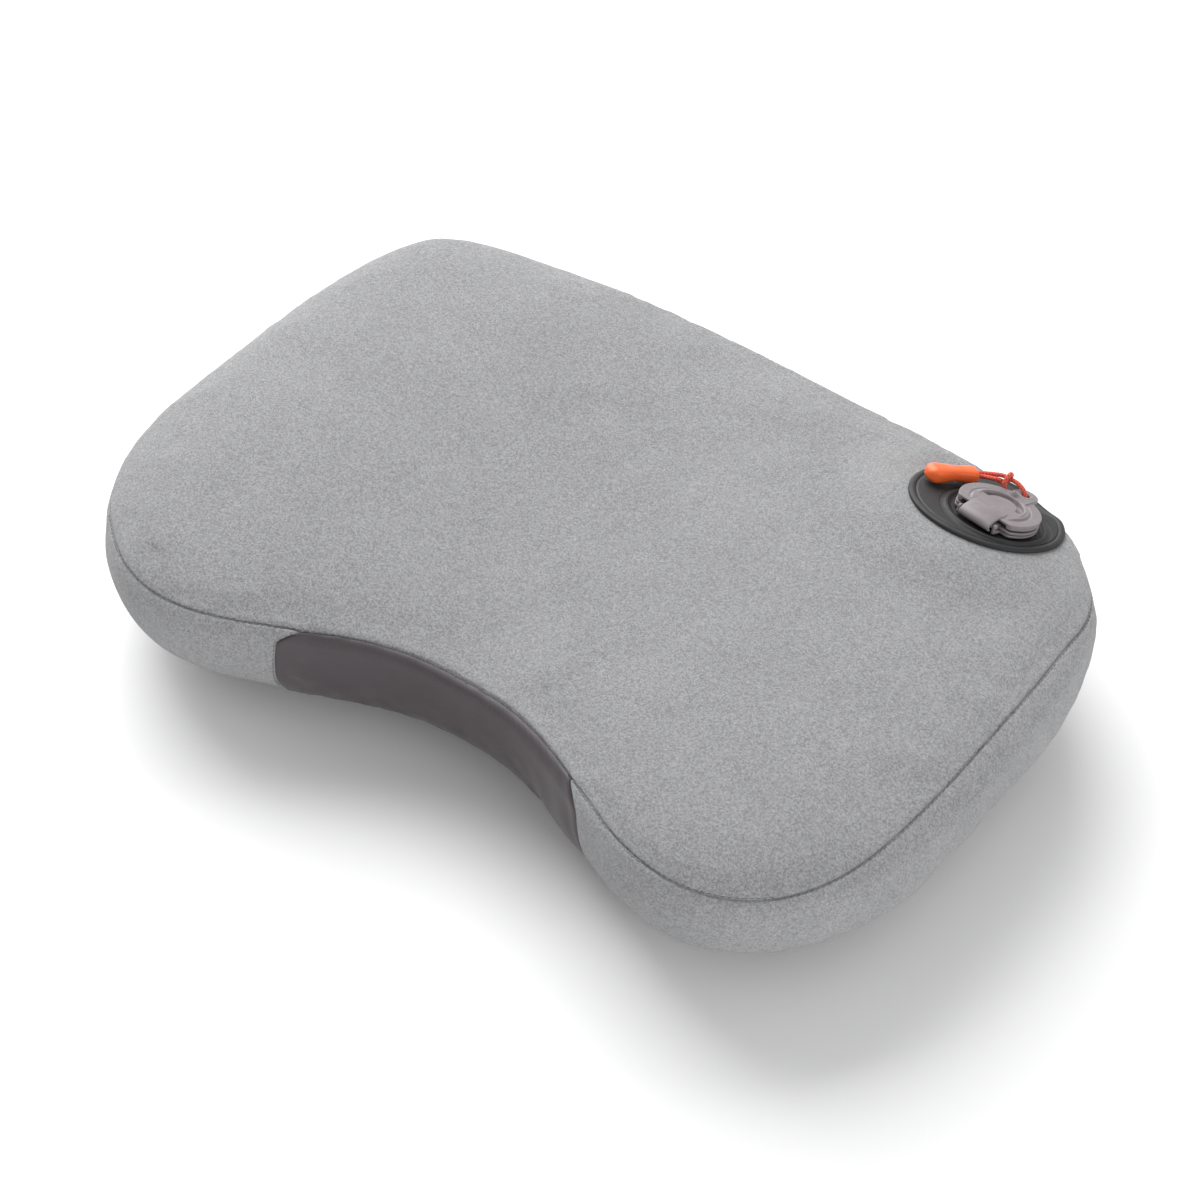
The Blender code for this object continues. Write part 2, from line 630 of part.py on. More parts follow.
def make_membrane(port):
    """The one-way membrane under the plug, hinged at its front edge."""
    high = PLUG_LOW - GAP
    radius = PLUG_RADIUS - MEMBRANE_INSET
    cylinder("check_membrane", radius, high - MEMBRANE_THICKNESS, high, ROUND, port, SILICONE)


def make_cap(port):
    """The inflation cap: plate, skirt, plug, tongue with ribs, and the strap that folds at the front."""
    plug = INFLATE_RADIUS - GAP
    skirt = STACK_RADIUS - CAP_SKIRT
    profile = [(0, CAP_TOP), (STACK_RADIUS - EDGE_BEVEL, CAP_TOP), (STACK_RADIUS, CAP_TOP - EDGE_BEVEL),
               (STACK_RADIUS, CAP_LOW), (skirt, CAP_LOW), (skirt, PLATE_LOW),
               (plug, PLATE_LOW), (plug, FLAP_LOW + GAP), (0, FLAP_LOW + GAP)]
    cap = turned("inflate_cap", profile, GREY, port)
    front_cut(cap, "cap_front", port)
    bridge_low = (-STRAP_WIDTH / 2, -HINGE_DISTANCE, CAP_TOP - (STRAP_OUTER - STRAP_INNER))
    bridge_high = (STRAP_WIDTH / 2, PLATE_FRONT + BITE, CAP_TOP)
    boolean(cap, as_cutter(box("cap_bridge", bridge_low, bridge_high, parent=port)), "UNION")
    boolean(cap, as_cutter(strap_fold(port)), "UNION")
    boolean(cap, as_cutter(tongue(port)), "UNION")
    for number, place in enumerate(RIB_PLACES):
        low = (-RIB_LENGTH / 2, place - RIB_WIDTH / 2, CAP_TOP - 0.3 * MM)
        high = (RIB_LENGTH / 2, place + RIB_WIDTH / 2, CAP_TOP + RIB_HEIGHT)
        boolean(cap, as_cutter(box(f"rib_guide_{number}", low, high, parent=port)), "UNION")
    hole = cylinder("tongue_hole", TONGUE_HOLE, PLATE_LOW - MM, CAP_TOP + MM, 20, parent=port)
    hole.location = (0, TONGUE_LENGTH - TONGUE_HALF, 0)
    boolean(cap, as_cutter(hole), "DIFFERENCE")


def strap_fold(port):
    """A C-shaped band round the hinge line, from the top over the front to underneath."""
    middle = (STRAP_INNER + STRAP_OUTER) / 2
    points = np.zeros((2, STRAP_STEPS + 1, 3))
    for column, x in enumerate((-STRAP_WIDTH / 2, STRAP_WIDTH / 2)):
        for step in range(STRAP_STEPS + 1):
            angle = math.pi / 2 + (STRAP_END - math.pi / 2) * step / STRAP_STEPS
            along = -HINGE_DISTANCE + middle * math.cos(angle)
            points[column, step] = (x, along, HINGE_HEIGHT + middle * math.sin(angle))
    fold = sheet("strap_fold", points, STRAP_OUTER - STRAP_INNER, GREY, False)
    fold.modifiers["thickness"].offset = 0
    fold.parent = port
    return fold


def tongue(port):
    """The pull tab: straight sides and a round end centred on its hole."""
    centre = TONGUE_LENGTH - TONGUE_HALF
    outline = [(-TONGUE_HALF, STACK_RADIUS * 0.7), (TONGUE_HALF, STACK_RADIUS * 0.7)]
    for step in range(13):
        angle = math.pi * step / 12
        outline.append((TONGUE_HALF * math.cos(angle), centre + TONGUE_HALF * math.sin(angle)))
    curve = bpy.data.curves.new("tongue_guide", "CURVE")
    curve.dimensions = "2D"
    curve.fill_mode = "BOTH"
    curve.extrude = CAP_PLATE / 2
    spline = curve.splines.new("POLY")
    spline.points.add(len(outline) - 1)
    for point, (x, y) in zip(spline.points, outline):
        point.co = (x, y, 0, 1)
    spline.use_cyclic_u = True
    flat = add_object("tongue_curve", curve)
    solid = curve_to_mesh(flat, "tongue_guide")
    solid.parent = port
    solid.location = (0, 0, CAP_TOP - CAP_PLATE / 2)
    return solid


def curve_to_mesh(curve_object, name):
    bpy.context.view_layer.update()
    graph = bpy.context.evaluated_depsgraph_get()
    mesh = bpy.data.meshes.new_from_object(curve_object.evaluated_get(graph))
    mesh_maker = bmesh.new()
    mesh_maker.from_mesh(mesh)
    bmesh.ops.remove_doubles(mesh_maker, verts=mesh_maker.verts, dist=1e-6)
    mesh_maker.to_mesh(mesh)
    mesh_maker.free()
    bpy.data.objects.remove(curve_object, do_unlink=True)
    return add_object(name, mesh)


# ---------------------------------------------------------------- the cord and its grip
def cord_route():
    """Through the tongue's hole: over the tongue one way, under it the other, both into the grip."""
    hole_y = TONGUE_LENGTH - TONGUE_HALF
    above = CAP_TOP + GAP + CORD / 2 + 0.2 * MM
    below = PLATE_LOW - GAP - CORD / 2 - 0.2 * MM
    middle = (CAP_TOP + PLATE_LOW) / 2
    grip_axis = Vector((math.cos(GRIP_TURN), math.sin(GRIP_TURN), 0))
    side = Vector((-grip_axis.y, grip_axis.x, 0))
    mouth = Vector((*GRIP_MOUTH, grip_height()))
    inside = mouth + grip_axis * (SOCKET_DEPTH - 2 * GAP)
    knot = Vector((-11.5 * MM, hole_y - 0.2 * MM, middle + 1.2 * MM))
    bend = mouth - grip_axis * 3.2 * MM
    upper = [inside - side * STRAND_SPACE, mouth - side * STRAND_SPACE, bend - side * STRAND_SPACE,
             knot + Vector((-2.5 * MM, 0, STRAND_SPACE)), knot + Vector((0, 0, 1.5 * MM)),
             Vector((-5.0 * MM, hole_y, above)), Vector((-1.7 * MM, hole_y, above - 0.2 * MM))]
    turn = [Vector((0, hole_y, middle))]
    lower = [Vector((-1.7 * MM, hole_y, below + 0.2 * MM)), Vector((-5.0 * MM, hole_y, below)),
             knot + Vector((0, 0, -1.5 * MM)), knot + Vector((-2.5 * MM, 0, -STRAND_SPACE)),
             bend + side * STRAND_SPACE, mouth + side * STRAND_SPACE, inside + side * STRAND_SPACE]
    return upper + turn + lower


def smooth_route(points, spacing):
    """A Catmull-Rom curve through the points, with a point about every spacing."""
    ends = [points[0] * 2 - points[1]] + points + [points[-1] * 2 - points[-2]]
    route = []
    for index in range(1, len(ends) - 2):
        before, start, finish, after = ends[index - 1:index + 3]
        pieces = max(1, round((finish - start).length / spacing))
        for piece in range(pieces):
            t = piece / pieces
            route.append(0.5 * (2 * start + (finish - before) * t
                                + (2 * before - 5 * start + 4 * finish - after) * t * t
                                + (3 * start - before - 3 * finish + after) * t * t * t))
    route.append(points[-1])
    return route


def make_cord(port):
    curve = bpy.data.curves.new("pull_cord", "CURVE")
    curve.dimensions = "3D"
    curve.bevel_depth = CORD / 2
    curve.bevel_resolution = 2
    curve.use_fill_caps = True
    route = smooth_route(cord_route(), 1.6 * MM)
    spline = curve.splines.new("POLY")
    spline.points.add(len(route) - 1)
    for point, place in zip(spline.points, route):
        point.co = (*place, 1)
    add_object("pull_cord", curve, CORD_COLOUR, parent=port)


def grip_height():
    return FLANGE_TOP + GAP + GRIP_HEIGHT / 2


def make_grip(port):
    """A moulded grip: full at both ends, waisted in the middle, with a socket for the cord."""
    frame = add_object("grip_frame", None, parent=port)
    frame.matrix_local = Matrix.Translation((*GRIP_MOUTH, grip_height())) @ Matrix.Rotation(GRIP_TURN, 4, "Z")
    mesh_maker = bmesh.new()
    bmesh.ops.create_cube(mesh_maker, size=1)
    lengthwise = [edge for edge in mesh_maker.edges if abs((edge.verts[0].co - edge.verts[1].co).x) > 0.5]
    bmesh.ops.subdivide_edges(mesh_maker, edges=lengthwise, cuts=3, use_grid_fill=True)
    for vertex in mesh_maker.verts:
        share = vertex.co.x + 0.5
        waist = 1 - (1 - GRIP_WAIST) * math.sin(math.pi * share) ** 2
        vertex.co = Vector((share * GRIP_LENGTH, vertex.co.y * GRIP_WIDTH * waist, vertex.co.z * GRIP_HEIGHT))
    mesh = bpy.data.meshes.new("pull_grip")
    mesh_maker.to_mesh(mesh)
    mesh_maker.free()
    grip = add_object("pull_grip", mesh, ORANGE, parent=frame)
    rounding = grip.modifiers.new("rounding", "BEVEL")
    rounding.width = 1.6 * MM
    rounding.segments = 2
    rounding.limit_method = "ANGLE"
    rounding.angle_limit = math.radians(60)
    socket = cylinder("grip_socket", 2.0 * STRAND_SPACE + GAP, -MM, SOCKET_DEPTH, 16, parent=frame)
    socket.matrix_local = Matrix.Rotation(math.pi / 2, 4, "Y")
    boolean(grip, as_cutter(socket), "DIFFERENCE")


# ---------------------------------------------------------------- assembly
def main():
    crown = make_cover()
    make_threads()
    film_top, film_wall, film_base = make_bladder()
    disc, port = valve_frames()
    make_baffles([film_top, film_wall, film_base])
    through = cylinder("port_hole", NECK_RADIUS + GAP, -8 * MM, 8 * MM, parent=port)
    as_cutter(through)
    boolean(crown, through, "DIFFERENCE")
    boolean(film_top, through, "DIFFERENCE")
    make_flange(disc, port)
    make_seat(port)
    make_weld_ring(port)
    make_flap(port)
    make_membrane(port)
    make_cap(port)
    make_cord(port)
    make_grip(port)


clear_scene()
PARTS = make_collection("camp_pillow")
CUTTERS = make_collection("cutters")
BRUSHED = make_material("brushed_fabric", (0.40, 0.40, 0.41), 0.95)
TAFFETA = make_material("dark_taffeta", (0.10, 0.09, 0.10), 0.55)
THREAD_COLOUR = make_material("thread", (0.05, 0.05, 0.055), 0.8)
FILM_COLOUR = make_material("bladder_film", (0.35, 0.36, 0.38), 0.35)
CHARCOAL = make_material("charcoal_disc", (0.045, 0.045, 0.048), 0.6)
GREY = make_material("grey_tpu", (0.19, 0.17, 0.175), 0.45)
SILICONE = make_material("silicone", (0.6, 0.6, 0.6), 0.4)
CORD_COLOUR = make_material("orange_cord", (0.55, 0.07, 0.045), 0.8)
ORANGE = make_material("orange_grip", (0.75, 0.13, 0.04), 0.45)
main()
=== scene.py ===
import json
import math

import bmesh
import bpy
import numpy as np
from bpy.props import FloatProperty, FloatVectorProperty, IntProperty, PointerProperty
from bpy.types import Operator, Panel, PropertyGroup
from mathutils import Matrix, Vector
from mathutils.bvhtree import BVHTree
from mathutils.kdtree import KDTree


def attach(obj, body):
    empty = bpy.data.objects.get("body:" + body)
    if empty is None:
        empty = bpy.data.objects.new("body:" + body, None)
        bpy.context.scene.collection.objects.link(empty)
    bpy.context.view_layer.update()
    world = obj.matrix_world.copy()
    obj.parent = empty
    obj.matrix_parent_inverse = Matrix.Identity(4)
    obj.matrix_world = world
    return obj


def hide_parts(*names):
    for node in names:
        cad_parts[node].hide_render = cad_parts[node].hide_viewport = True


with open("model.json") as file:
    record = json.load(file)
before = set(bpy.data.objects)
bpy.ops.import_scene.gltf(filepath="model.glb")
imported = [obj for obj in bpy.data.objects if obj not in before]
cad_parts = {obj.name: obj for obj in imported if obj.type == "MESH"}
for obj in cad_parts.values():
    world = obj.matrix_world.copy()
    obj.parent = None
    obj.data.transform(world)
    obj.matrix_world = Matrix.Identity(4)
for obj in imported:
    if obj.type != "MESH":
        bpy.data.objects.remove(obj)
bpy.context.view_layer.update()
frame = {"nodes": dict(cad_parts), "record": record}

bl_info = {
    "name": "Camp Pillow",
    "version": (1, 0, 0),
    "blender": (4, 5, 0),
    "location": "3D View > Sidebar > Pillow",
    "description": "Makes an inflatable camp pillow with a brushed cover and a flat flap valve",
    "category": "Mesh",
}

MM = 0.001


# ---------------------------------------------------------------- the sizes and colours a user changes
def size(name, default, description, unit="LENGTH"):
    return FloatProperty(name=name, default=default, description=description, unit=unit, precision=4)


def share(name, default, description):
    return FloatProperty(name=name, default=default, description=description)


def colour(name, default, description):
    return FloatVectorProperty(name=name, default=default, description=description,
                               subtype="COLOR", size=3, min=0, max=1)


class CushionSizes(PropertyGroup):
    length: size("Length", 0.410, "End to end")
    depth: size("Depth", 0.300, "Front lobes to back, before the back's bow")
    crown: size("Crown height", 0.0876, "The top, before its middle sags")
    equator: size("Equator height", 0.0588, "The widest level")
    sag: size("Crown sag", 0.0202, "How far the middle of the top dips between the lobes")
    sag_reach: size("Sag reach", 0.11, "Half width of that dip")
    bow: size("Back bow", 0.0157, "How far the back edge bulges in the middle")
    taper: share("Taper", 0.0213, "Share by which the back is longer than the front")
    front_square: share("Front squareness", 2.95, "2 is an ellipse, more is squarer")
    back_square: share("Back squareness", 3.72, "2 is an ellipse, more is squarer")
    foot: size("Foot level", 0.0035, "The base is flat below this level of the free shape")
    waist: size("Waist", 0.2349, "Front of the neck recess to the back, before the back's bow")
    recess_reach: size("Recess reach", 0.1027, "Half width of the neck recess")
    disc_inset: size("Disc end inset", 0.0766, "Valve's middle from the end of the pillow")
    disc_back: size("Disc back inset", 0.0487, "Valve's middle from the back")


class CoverSizes(PropertyGroup):
    cell: size("Mesh cell", 0.0027, "Spacing of the cover's mesh")
    thickness: size("Cloth thickness", 0.0010, "Thickness of the cover's cloth")
    groove: size("Seam depth", 0.0010, "How far a seam pulls in")
    groove_width: size("Seam width", 0.00062, "Half width of a seam's groove")
    pucker: size("Seam pucker", 0.00042, "Height of the gathers beside a seam")
    stitch: size("Stitch length", 0.0021, "Length of one stitch")
    pitch: size("Stitch pitch", 0.0027, "From one stitch to the next")
    thread: size("Thread", 0.00032, "Diameter of the sewing thread")
    frames: IntProperty(name="Cloth frames", default=16, description="Frames that the cloth settles for")


class ValveSizes(PropertyGroup):
    disc_radius: size("Disc radius", 0.035, "The dark disc on the cover")
    stack_radius: size("Stack radius", 0.0185, "Seat, deflate flap and cap")
    bore: size("Bore radius", 0.0095, "The deflation port")
    inflate: size("Inflation port radius", 0.0060, "The port through the deflate flap")
    collar: size("Collar radius", 0.0235, "The raised ring round the port")
    strap: size("Strap width", 0.0160, "The folded hinge strap")
    tongue: size("Tongue length", 0.0255, "From the port's axis to the end of the pull tab")
    tongue_half: size("Tongue half width", 0.0056, "Half width of the pull tab")
    cord: size("Cord", 0.0020, "Diameter of the pull cord")
    grip_length: size("Grip length", 0.0255, "The moulded grip")
    grip_width: size("Grip width", 0.0094, "The moulded grip")
    grip_height: size("Grip height", 0.0072, "The moulded grip")


class PillowColours(PropertyGroup):
    brushed: colour("Brushed cloth", (0.530, 0.530, 0.538), "Top and side cloth")
    brushed_dark: colour("Brushed cloth, low nap", (0.175, 0.176, 0.181), "Between the raised fibres")
    # Dark cloth of the neck panel; the base takes it too, where the dark rim along the bottom edge is painted
    # shade for the shadow line there.
    taffeta_and_base_shade: colour("Taffeta", (0.066, 0.056, 0.061), "Neck panel and base")
    thread: colour("Thread", (0.085, 0.085, 0.09), "Sewing thread")
    disc: colour("Disc", (0.0135, 0.0135, 0.0145), "The dark moulded disc")
    moulded: colour("Moulded grey", (0.195, 0.170, 0.176), "Seat, flap and cap")
    cord: colour("Cord", (0.62, 0.072, 0.036), "Braided pull cord")
    grip: colour("Grip", (0.85, 0.135, 0.030), "Moulded grip")


# ---------------------------------------------------------------- the cushion's skin
TOP_ROUND, TOP_RISE = 0.656, 0.716      # how the plan and the height change towards the crown
BASE_ROUND, BASE_RISE = 0.692, 0.608    # and towards the base
RECESS_FLANK, RECESS_FADE = 2.32, 1.54  # how square the neck recess is, and how it fades back
TOP_SEAM, TOP_SEAM_DIP = 0.3875, 0.182  # latitude of the top seam, and its dip at the corners
FAR_SEAM = 0.085              # latitude of the top seam behind and at the left
BASE_SEAM = -0.52
NECK_TOP, NECK_BASE = math.radians(12.65), math.radians(18.3)   # the neck panel's half width
NECK_MIDDLE = math.radians(270)
POLE = math.pi / 2
CORNERS = [math.radians(a) for a in (225, 315, 405, 495, 585)]
RING = 12 * MM                          # width of the even band of mesh beside each seam


def free_skin(theta, lat):
    """The inflated skin before the valve flattens it; arrays in, (..., 3) out."""
    s = bpy.context.scene.pillow_cushion
    cos_t, sin_t = np.cos(theta), np.sin(theta)
    square = np.where(sin_t < 0, s.front_square, s.back_square)
    across = np.sign(cos_t) * np.abs(cos_t) ** (2 / square)
    along = np.sign(sin_t) * np.abs(sin_t) ** (2 / square)
    sin_l, cos_l = np.abs(np.sin(lat)), np.abs(np.cos(lat))
    top = lat >= 0
    rho = np.where(top, cos_l ** TOP_ROUND, cos_l ** BASE_ROUND)
    rise = np.where(top, sin_l ** TOP_RISE, sin_l ** BASE_RISE)
    x = s.length / 2 * across * rho * (1 + s.taper * along * rho)
    y = s.depth / 2 * along * rho
    sag = rise * s.sag * np.exp(-(x / s.sag_reach) ** 2)
    z_top = s.equator + (s.crown - s.equator) * rise - sag
    z_base = np.maximum(s.equator * (1 - rise) - s.foot, 0)
    z = np.where(top, z_top - s.foot, z_base)
    front = np.clip((1 - y / (s.depth / 2)) / 2, 0, 1)
    back = np.clip((1 + y / (s.depth / 2)) / 2, 0, 1)
    recess = np.exp(-np.abs(x / s.recess_reach) ** RECESS_FLANK)
    y = y + (s.depth - s.waist) * recess * front ** RECESS_FADE
    y = y + s.bow * (1 - (x / (s.length / 2)) ** 2) * back
    return np.stack([x, y, z], axis=-1)


def skin_middle():
    """X and Y of the middle of the free skin, where the origin stands."""
    theta, lat = np.meshgrid(np.linspace(0, 2 * np.pi, 721), np.linspace(-0.6, 0.6, 61))
    points = free_skin(theta, lat)
    low, high = points.min(axis=(0, 1)), points.max(axis=(0, 1))
    return np.array([(low[0] + high[0]) / 2, (low[1] + high[1]) / 2, 0.0])


class ValvePlace:
    """The port's axes and the disc's middle, read from the frame's joints."""

    def __init__(self):
        joints = {j["name"]: j for j in frame["record"]["behaviour"]["joints"]}
        flap, pull = joints["deflate_flap_hinge"], joints["pull_swivel"]
        self.x = np.array(flap["axis"])
        self.z = -np.array(pull["axis"])
        self.y = np.cross(self.z, self.x)
        self.hinge = np.array(flap["pos_m"])
        self.origin = self.hinge + self.y * HINGE_DISTANCE - self.z * HINGE_HEIGHT
        across = np.array([1.0, 0, 0]) - self.z * self.z[0]
        across /= np.linalg.norm(across)
        up = np.cross(self.z, across)
        self.disc = self.origin - across * PORT_OFFSET[0] - up * PORT_OFFSET[1]

    def world(self, points):
        points = np.asarray(points, float)
        return self.origin + points[..., :1] * self.x + points[..., 1:2] * self.y + points[..., 2:] * self.z

    def local(self, points):
        return (np.asarray(points) - self.origin) @ np.stack([self.x, self.y, self.z]).T


FULLNESS = (                  # where the cloth stands fuller than the plain shape: place, push, reach
    ((-0.178, 0.118), (-0.0075, 0.0070, 0.0035), 0.044),
    ((-0.196, -0.060), (-0.0030, -0.0020, 0.0010), 0.060),
    ((0.060, 0.120), (0.0, -0.0030, -0.0015), 0.060),
)
HINGE_DISTANCE = 16 * MM      # hinge line in front of the port's axis
HINGE_HEIGHT = 5.0 * MM       # and above the disc's underside
PORT_OFFSET = (6.5 * MM, -5.0 * MM)
DISC_TOP = 1.7 * MM
SEAT_LOW, SEAT_TOP = 2.0 * MM, 3.2 * MM
FLAP_LOW, FLAP_TOP = 3.5 * MM, 4.7 * MM
CAP_LOW, CAP_TOP = 5.5 * MM, 8.2 * MM
PLATE_LOW = 6.7 * MM          # underside of the cap's plate
PLATE_FRONT = 12.2 * MM       # the plates are cut off this far in front of the axis
TONGUE_HOLE_Y = 19.9 * MM     # the hole that the cord goes through
TONGUE_HOLE_RADIUS = 2.0 * MM
HINGE_CORE = 1.0 * MM         # radius of the flap's core on the hinge line
HINGE_BOSS = 1.3 * MM         # radius of the seat's ears
DISC_HOLE = 12.0 * MM         # the disc's inner edge, under the seat
COVER_HOLE = 12.8 * MM        # the hole in the cloth under the disc
MOULDED_ROUGH = 0.46
VALVE = ValvePlace()


def skin(theta, lat):
    """The skin, eased onto the flat that carries the valve and free again beyond the disc's rim."""
    points = free_skin(theta, lat) - skin.middle
    for place, push, reach in FULLNESS:
        near = np.exp(-((points[..., 0] - place[0]) ** 2 + (points[..., 1] - place[1]) ** 2) / reach ** 2)
        points = points + (near * np.clip(points[..., 2] / (25 * MM), 0, 1))[..., None] * np.array(push)
    height = (points - VALVE.disc) @ VALVE.z
    flat_to_disc = np.linalg.norm(points - VALVE.disc - height[..., None] * VALVE.z, axis=-1)
    flat_to_port = np.linalg.norm(points - VALVE.origin - height[..., None] * VALVE.z, axis=-1)
    above = smooth_share((flat_to_disc - 36 * MM) / (34 * MM))
    outward = (points - VALVE.disc) @ np.array([0.80, 0.60, 0]) / np.maximum(flat_to_disc, 1 * MM)
    quick = smooth_share((flat_to_port - 19 * MM) / (24 * MM))
    slow = smooth_share((flat_to_disc - 27 * MM) / (40 * MM))
    below = slow + (quick - slow) * smooth_share((outward - 0.1) / 0.6)
    keep = np.where(height > 0, 1 - above, 1 - below)
    keep = keep * np.clip((height + 40 * MM) / (20 * MM), 0, 1)
    return points - (keep * height)[..., None] * VALVE.z


def smooth_share(x):
    """0 below 0, 1 above 1, smooth between."""
    x = np.clip(x, 0, 1)
    return x * x * (3 - 2 * x)


def step_up(value, start, width):
    """A smooth step from 0 to 1 that starts at a place in millimetres and is so many wide."""
    return smooth_share((value - start * MM) / (width * MM))


def top_seam(theta):
    """Latitude of the top seam; behind and at the left it runs lower, out of sight from the front."""
    degrees = np.degrees(np.mod(theta, 2 * np.pi))
    far = smooth_share((degrees - 14) / 30) * (1 - smooth_share((degrees - 200) / 22))
    regular = TOP_SEAM - TOP_SEAM_DIP * np.sin(2 * theta) ** 2
    return regular + (FAR_SEAM - regular) * far


def neck_share(level):
    """How far the neck panel's ends have moved in at a level; this keeps the ends straight."""
    return np.clip(level, 0, 1) ** 0.55


def neck_half(level):
    """Half width of the neck panel in plan angle, at a level from base to top."""
    return NECK_BASE + (NECK_TOP - NECK_BASE) * neck_share(level)


# ---------------------------------------------------------------- mesh helpers
def run_of(points):
    """Length so far along a row of points."""
    steps = np.linalg.norm(np.diff(points, axis=0), axis=-1)
    return np.concatenate([[0], np.cumsum(steps)])


def graded(length, cell, near_start, near_end):
    """Shares from 0 to 1, with fine steps at the ends that ask for them and even cells between."""
    fine = np.array([0, 0.45, 0.95, 1.5, 2.2, 3.2, 4.8]) * MM
    first = fine if near_start else np.array([0.0])
    last = length - fine[::-1] if near_end else np.array([length])
    cells = max(2, round((last[0] - first[-1]) / cell))
    middle = np.linspace(first[-1], last[0], cells + 1)[1:-1]
    return np.concatenate([first, middle, last]) / length


def new_object(name, vertices, faces, materials, smooth=True, indices=None):
    """A mesh object at the origin whose faces point outwards."""
    mesh = bpy.data.meshes.new(name)
    mesh.from_pydata([tuple(v) for v in vertices], [], [tuple(f) for f in faces])
    for material in materials:
        mesh.materials.append(material)
    if indices is not None:
        mesh.polygons.foreach_set("material_index", indices)
    if smooth:
        mesh.shade_smooth()
    mesh.update()
    thing = bpy.data.objects.new(name, mesh)
    bpy.context.scene.collection.objects.link(thing)
    return thing


def quad_rows(rows, closed):
    """Vertices and quads of rings of points, one after another; closed joins the last ring to the first."""
    count = len(rows[0])
    vertices = np.concatenate(rows)
    ring = np.arange(count)
    after = (ring + 1) % count
    faces = []
    pairs = [(k, k + 1) for k in range(len(rows) - 1)] + ([(len(rows) - 1, 0)] if closed else [])
    for a, b in pairs:
        corners = [a * count + ring, a * count + after, b * count + after, b * count + ring]
        faces.append(np.stack(corners, axis=1))
    return vertices, np.concatenate(faces)


def solid_of_rings(name, rows, closed, material):
    """A closed solid from rings: joined round to the first, or closed at both ends by a pole."""
    vertices, faces = quad_rows(rows, closed)
    faces = [tuple(f) for f in faces]
    if not closed:
        count = len(rows[0])
        for start, row in ((0, rows[0]), ((len(rows) - 1) * count, rows[-1])):
            middle = len(vertices)
            vertices = np.concatenate([vertices, row.mean(axis=0, keepdims=True)])
            faces += [(start + k, start + (k + 1) % count, middle) for k in range(count)]
    thing = new_object(name, vertices, faces, [material])
    face_outwards(thing)
    return thing


def face_outwards(thing):
    """Merges doubled points and turns every face outwards."""
    maker = bmesh.new()
    maker.from_mesh(thing.data)
    bmesh.ops.remove_doubles(maker, verts=maker.verts, dist=1e-7)
    bmesh.ops.recalc_face_normals(maker, faces=maker.faces)
    maker.to_mesh(thing.data)
    maker.free()
    thing.data.shade_smooth()


def join(name, pieces):
    """One mesh object out of several, modifiers applied."""
    graph = bpy.context.evaluated_depsgraph_get()
    maker = bmesh.new()
    materials = []
    for piece in pieces:
        mesh = bpy.data.meshes.new_from_object(piece.evaluated_get(graph))
        for material in mesh.materials:
            if material not in materials:
                materials.append(material)
        maker.from_mesh(mesh)
        bpy.data.objects.remove(piece, do_unlink=True)
    mesh = bpy.data.meshes.new(name)
    maker.to_mesh(mesh)
    maker.free()
    for material in materials:
        mesh.materials.append(material)
    thing = bpy.data.objects.new(name, mesh)
    bpy.context.scene.collection.objects.link(thing)
    return thing


def baked(thing, name):
    """The object's evaluated mesh as a plain object; the old one goes."""
    graph = bpy.context.evaluated_depsgraph_get()
    mesh = bpy.data.meshes.new_from_object(thing.evaluated_get(graph))
    bpy.data.objects.remove(thing, do_unlink=True)
    plain = bpy.data.objects.new(name, mesh)
    bpy.context.scene.collection.objects.link(plain)
    return plain


def cut(thing, cutter):
    """Takes the cutter's shape out of the piece for good."""
    name = thing.name
    taken = thing.modifiers.new("cut", "BOOLEAN")
    taken.operation, taken.solver, taken.object = "DIFFERENCE", "EXACT", cutter
    thing.name = name + "_raw"
    result = baked(thing, name)
    bpy.data.objects.remove(cutter, do_unlink=True)
    return result


def deliver(thing, body, nodes):
    """Every piece rides on its body and replaces its CAD nodes."""
    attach(thing, body)
    if nodes:
        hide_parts(*nodes)


# ---------------------------------------------------------------- shader groups
def node_group(name, inputs):
    """An empty shader group with named inputs, each with its default, and the three outputs of a finish."""
    group = bpy.data.node_groups.new(name, "ShaderNodeTree")
    for label, default in inputs:
        kind = "NodeSocketColor" if hasattr(default, "__len__") else "NodeSocketFloat"
        socket = group.interface.new_socket(label, in_out="INPUT", socket_type=kind)
        socket.default_value = (*default, 1) if hasattr(default, "__len__") else default
    for label, kind in (("Colour", "NodeSocketColor"), ("Height", "NodeSocketFloat"),
                        ("Rough", "NodeSocketFloat")):
        group.interface.new_socket(label, in_out="OUTPUT", socket_type=kind)
    return group, group.nodes.new("NodeGroupInput"), group.nodes.new("NodeGroupOutput")


def add_node(tree, kind, links=None, **values):
    """A node with its properties and unlinked sockets set, and its inputs linked."""
    made = tree.nodes.new(kind)
    for key, value in values.items():
        if hasattr(made, key):
            setattr(made, key, value)
    for key, value in (links or {}).items():
        if hasattr(value, "is_output"):
            tree.links.new(value, made.inputs[key])
        else:
            made.inputs[key].default_value = value
    return made


def math_node(tree, operation, a, b=0.0):
    """A sum on two values or sockets."""
    return add_node(tree, "ShaderNodeMath", {0: a, 1: b}, operation=operation).outputs[0]


def noise_node(tree, vector, scale, detail=3.0, rough=0.6, distortion=0.0):
    """Noise from 0 to 1."""
    links = {"Vector": vector, "Scale": scale, "Detail": detail, "Roughness": rough, "Distortion": distortion}
    return add_node(tree, "ShaderNodeTexNoise", links).outputs["Fac"]


def ramp(tree, factor, low, high):
    """0 below low, 1 above high, smooth between."""
    made = add_node(tree, "ShaderNodeMapRange", {"Value": factor, "From Min": low, "From Max": high},
                    interpolation_type="SMOOTHSTEP")
    return made.outputs["Result"]


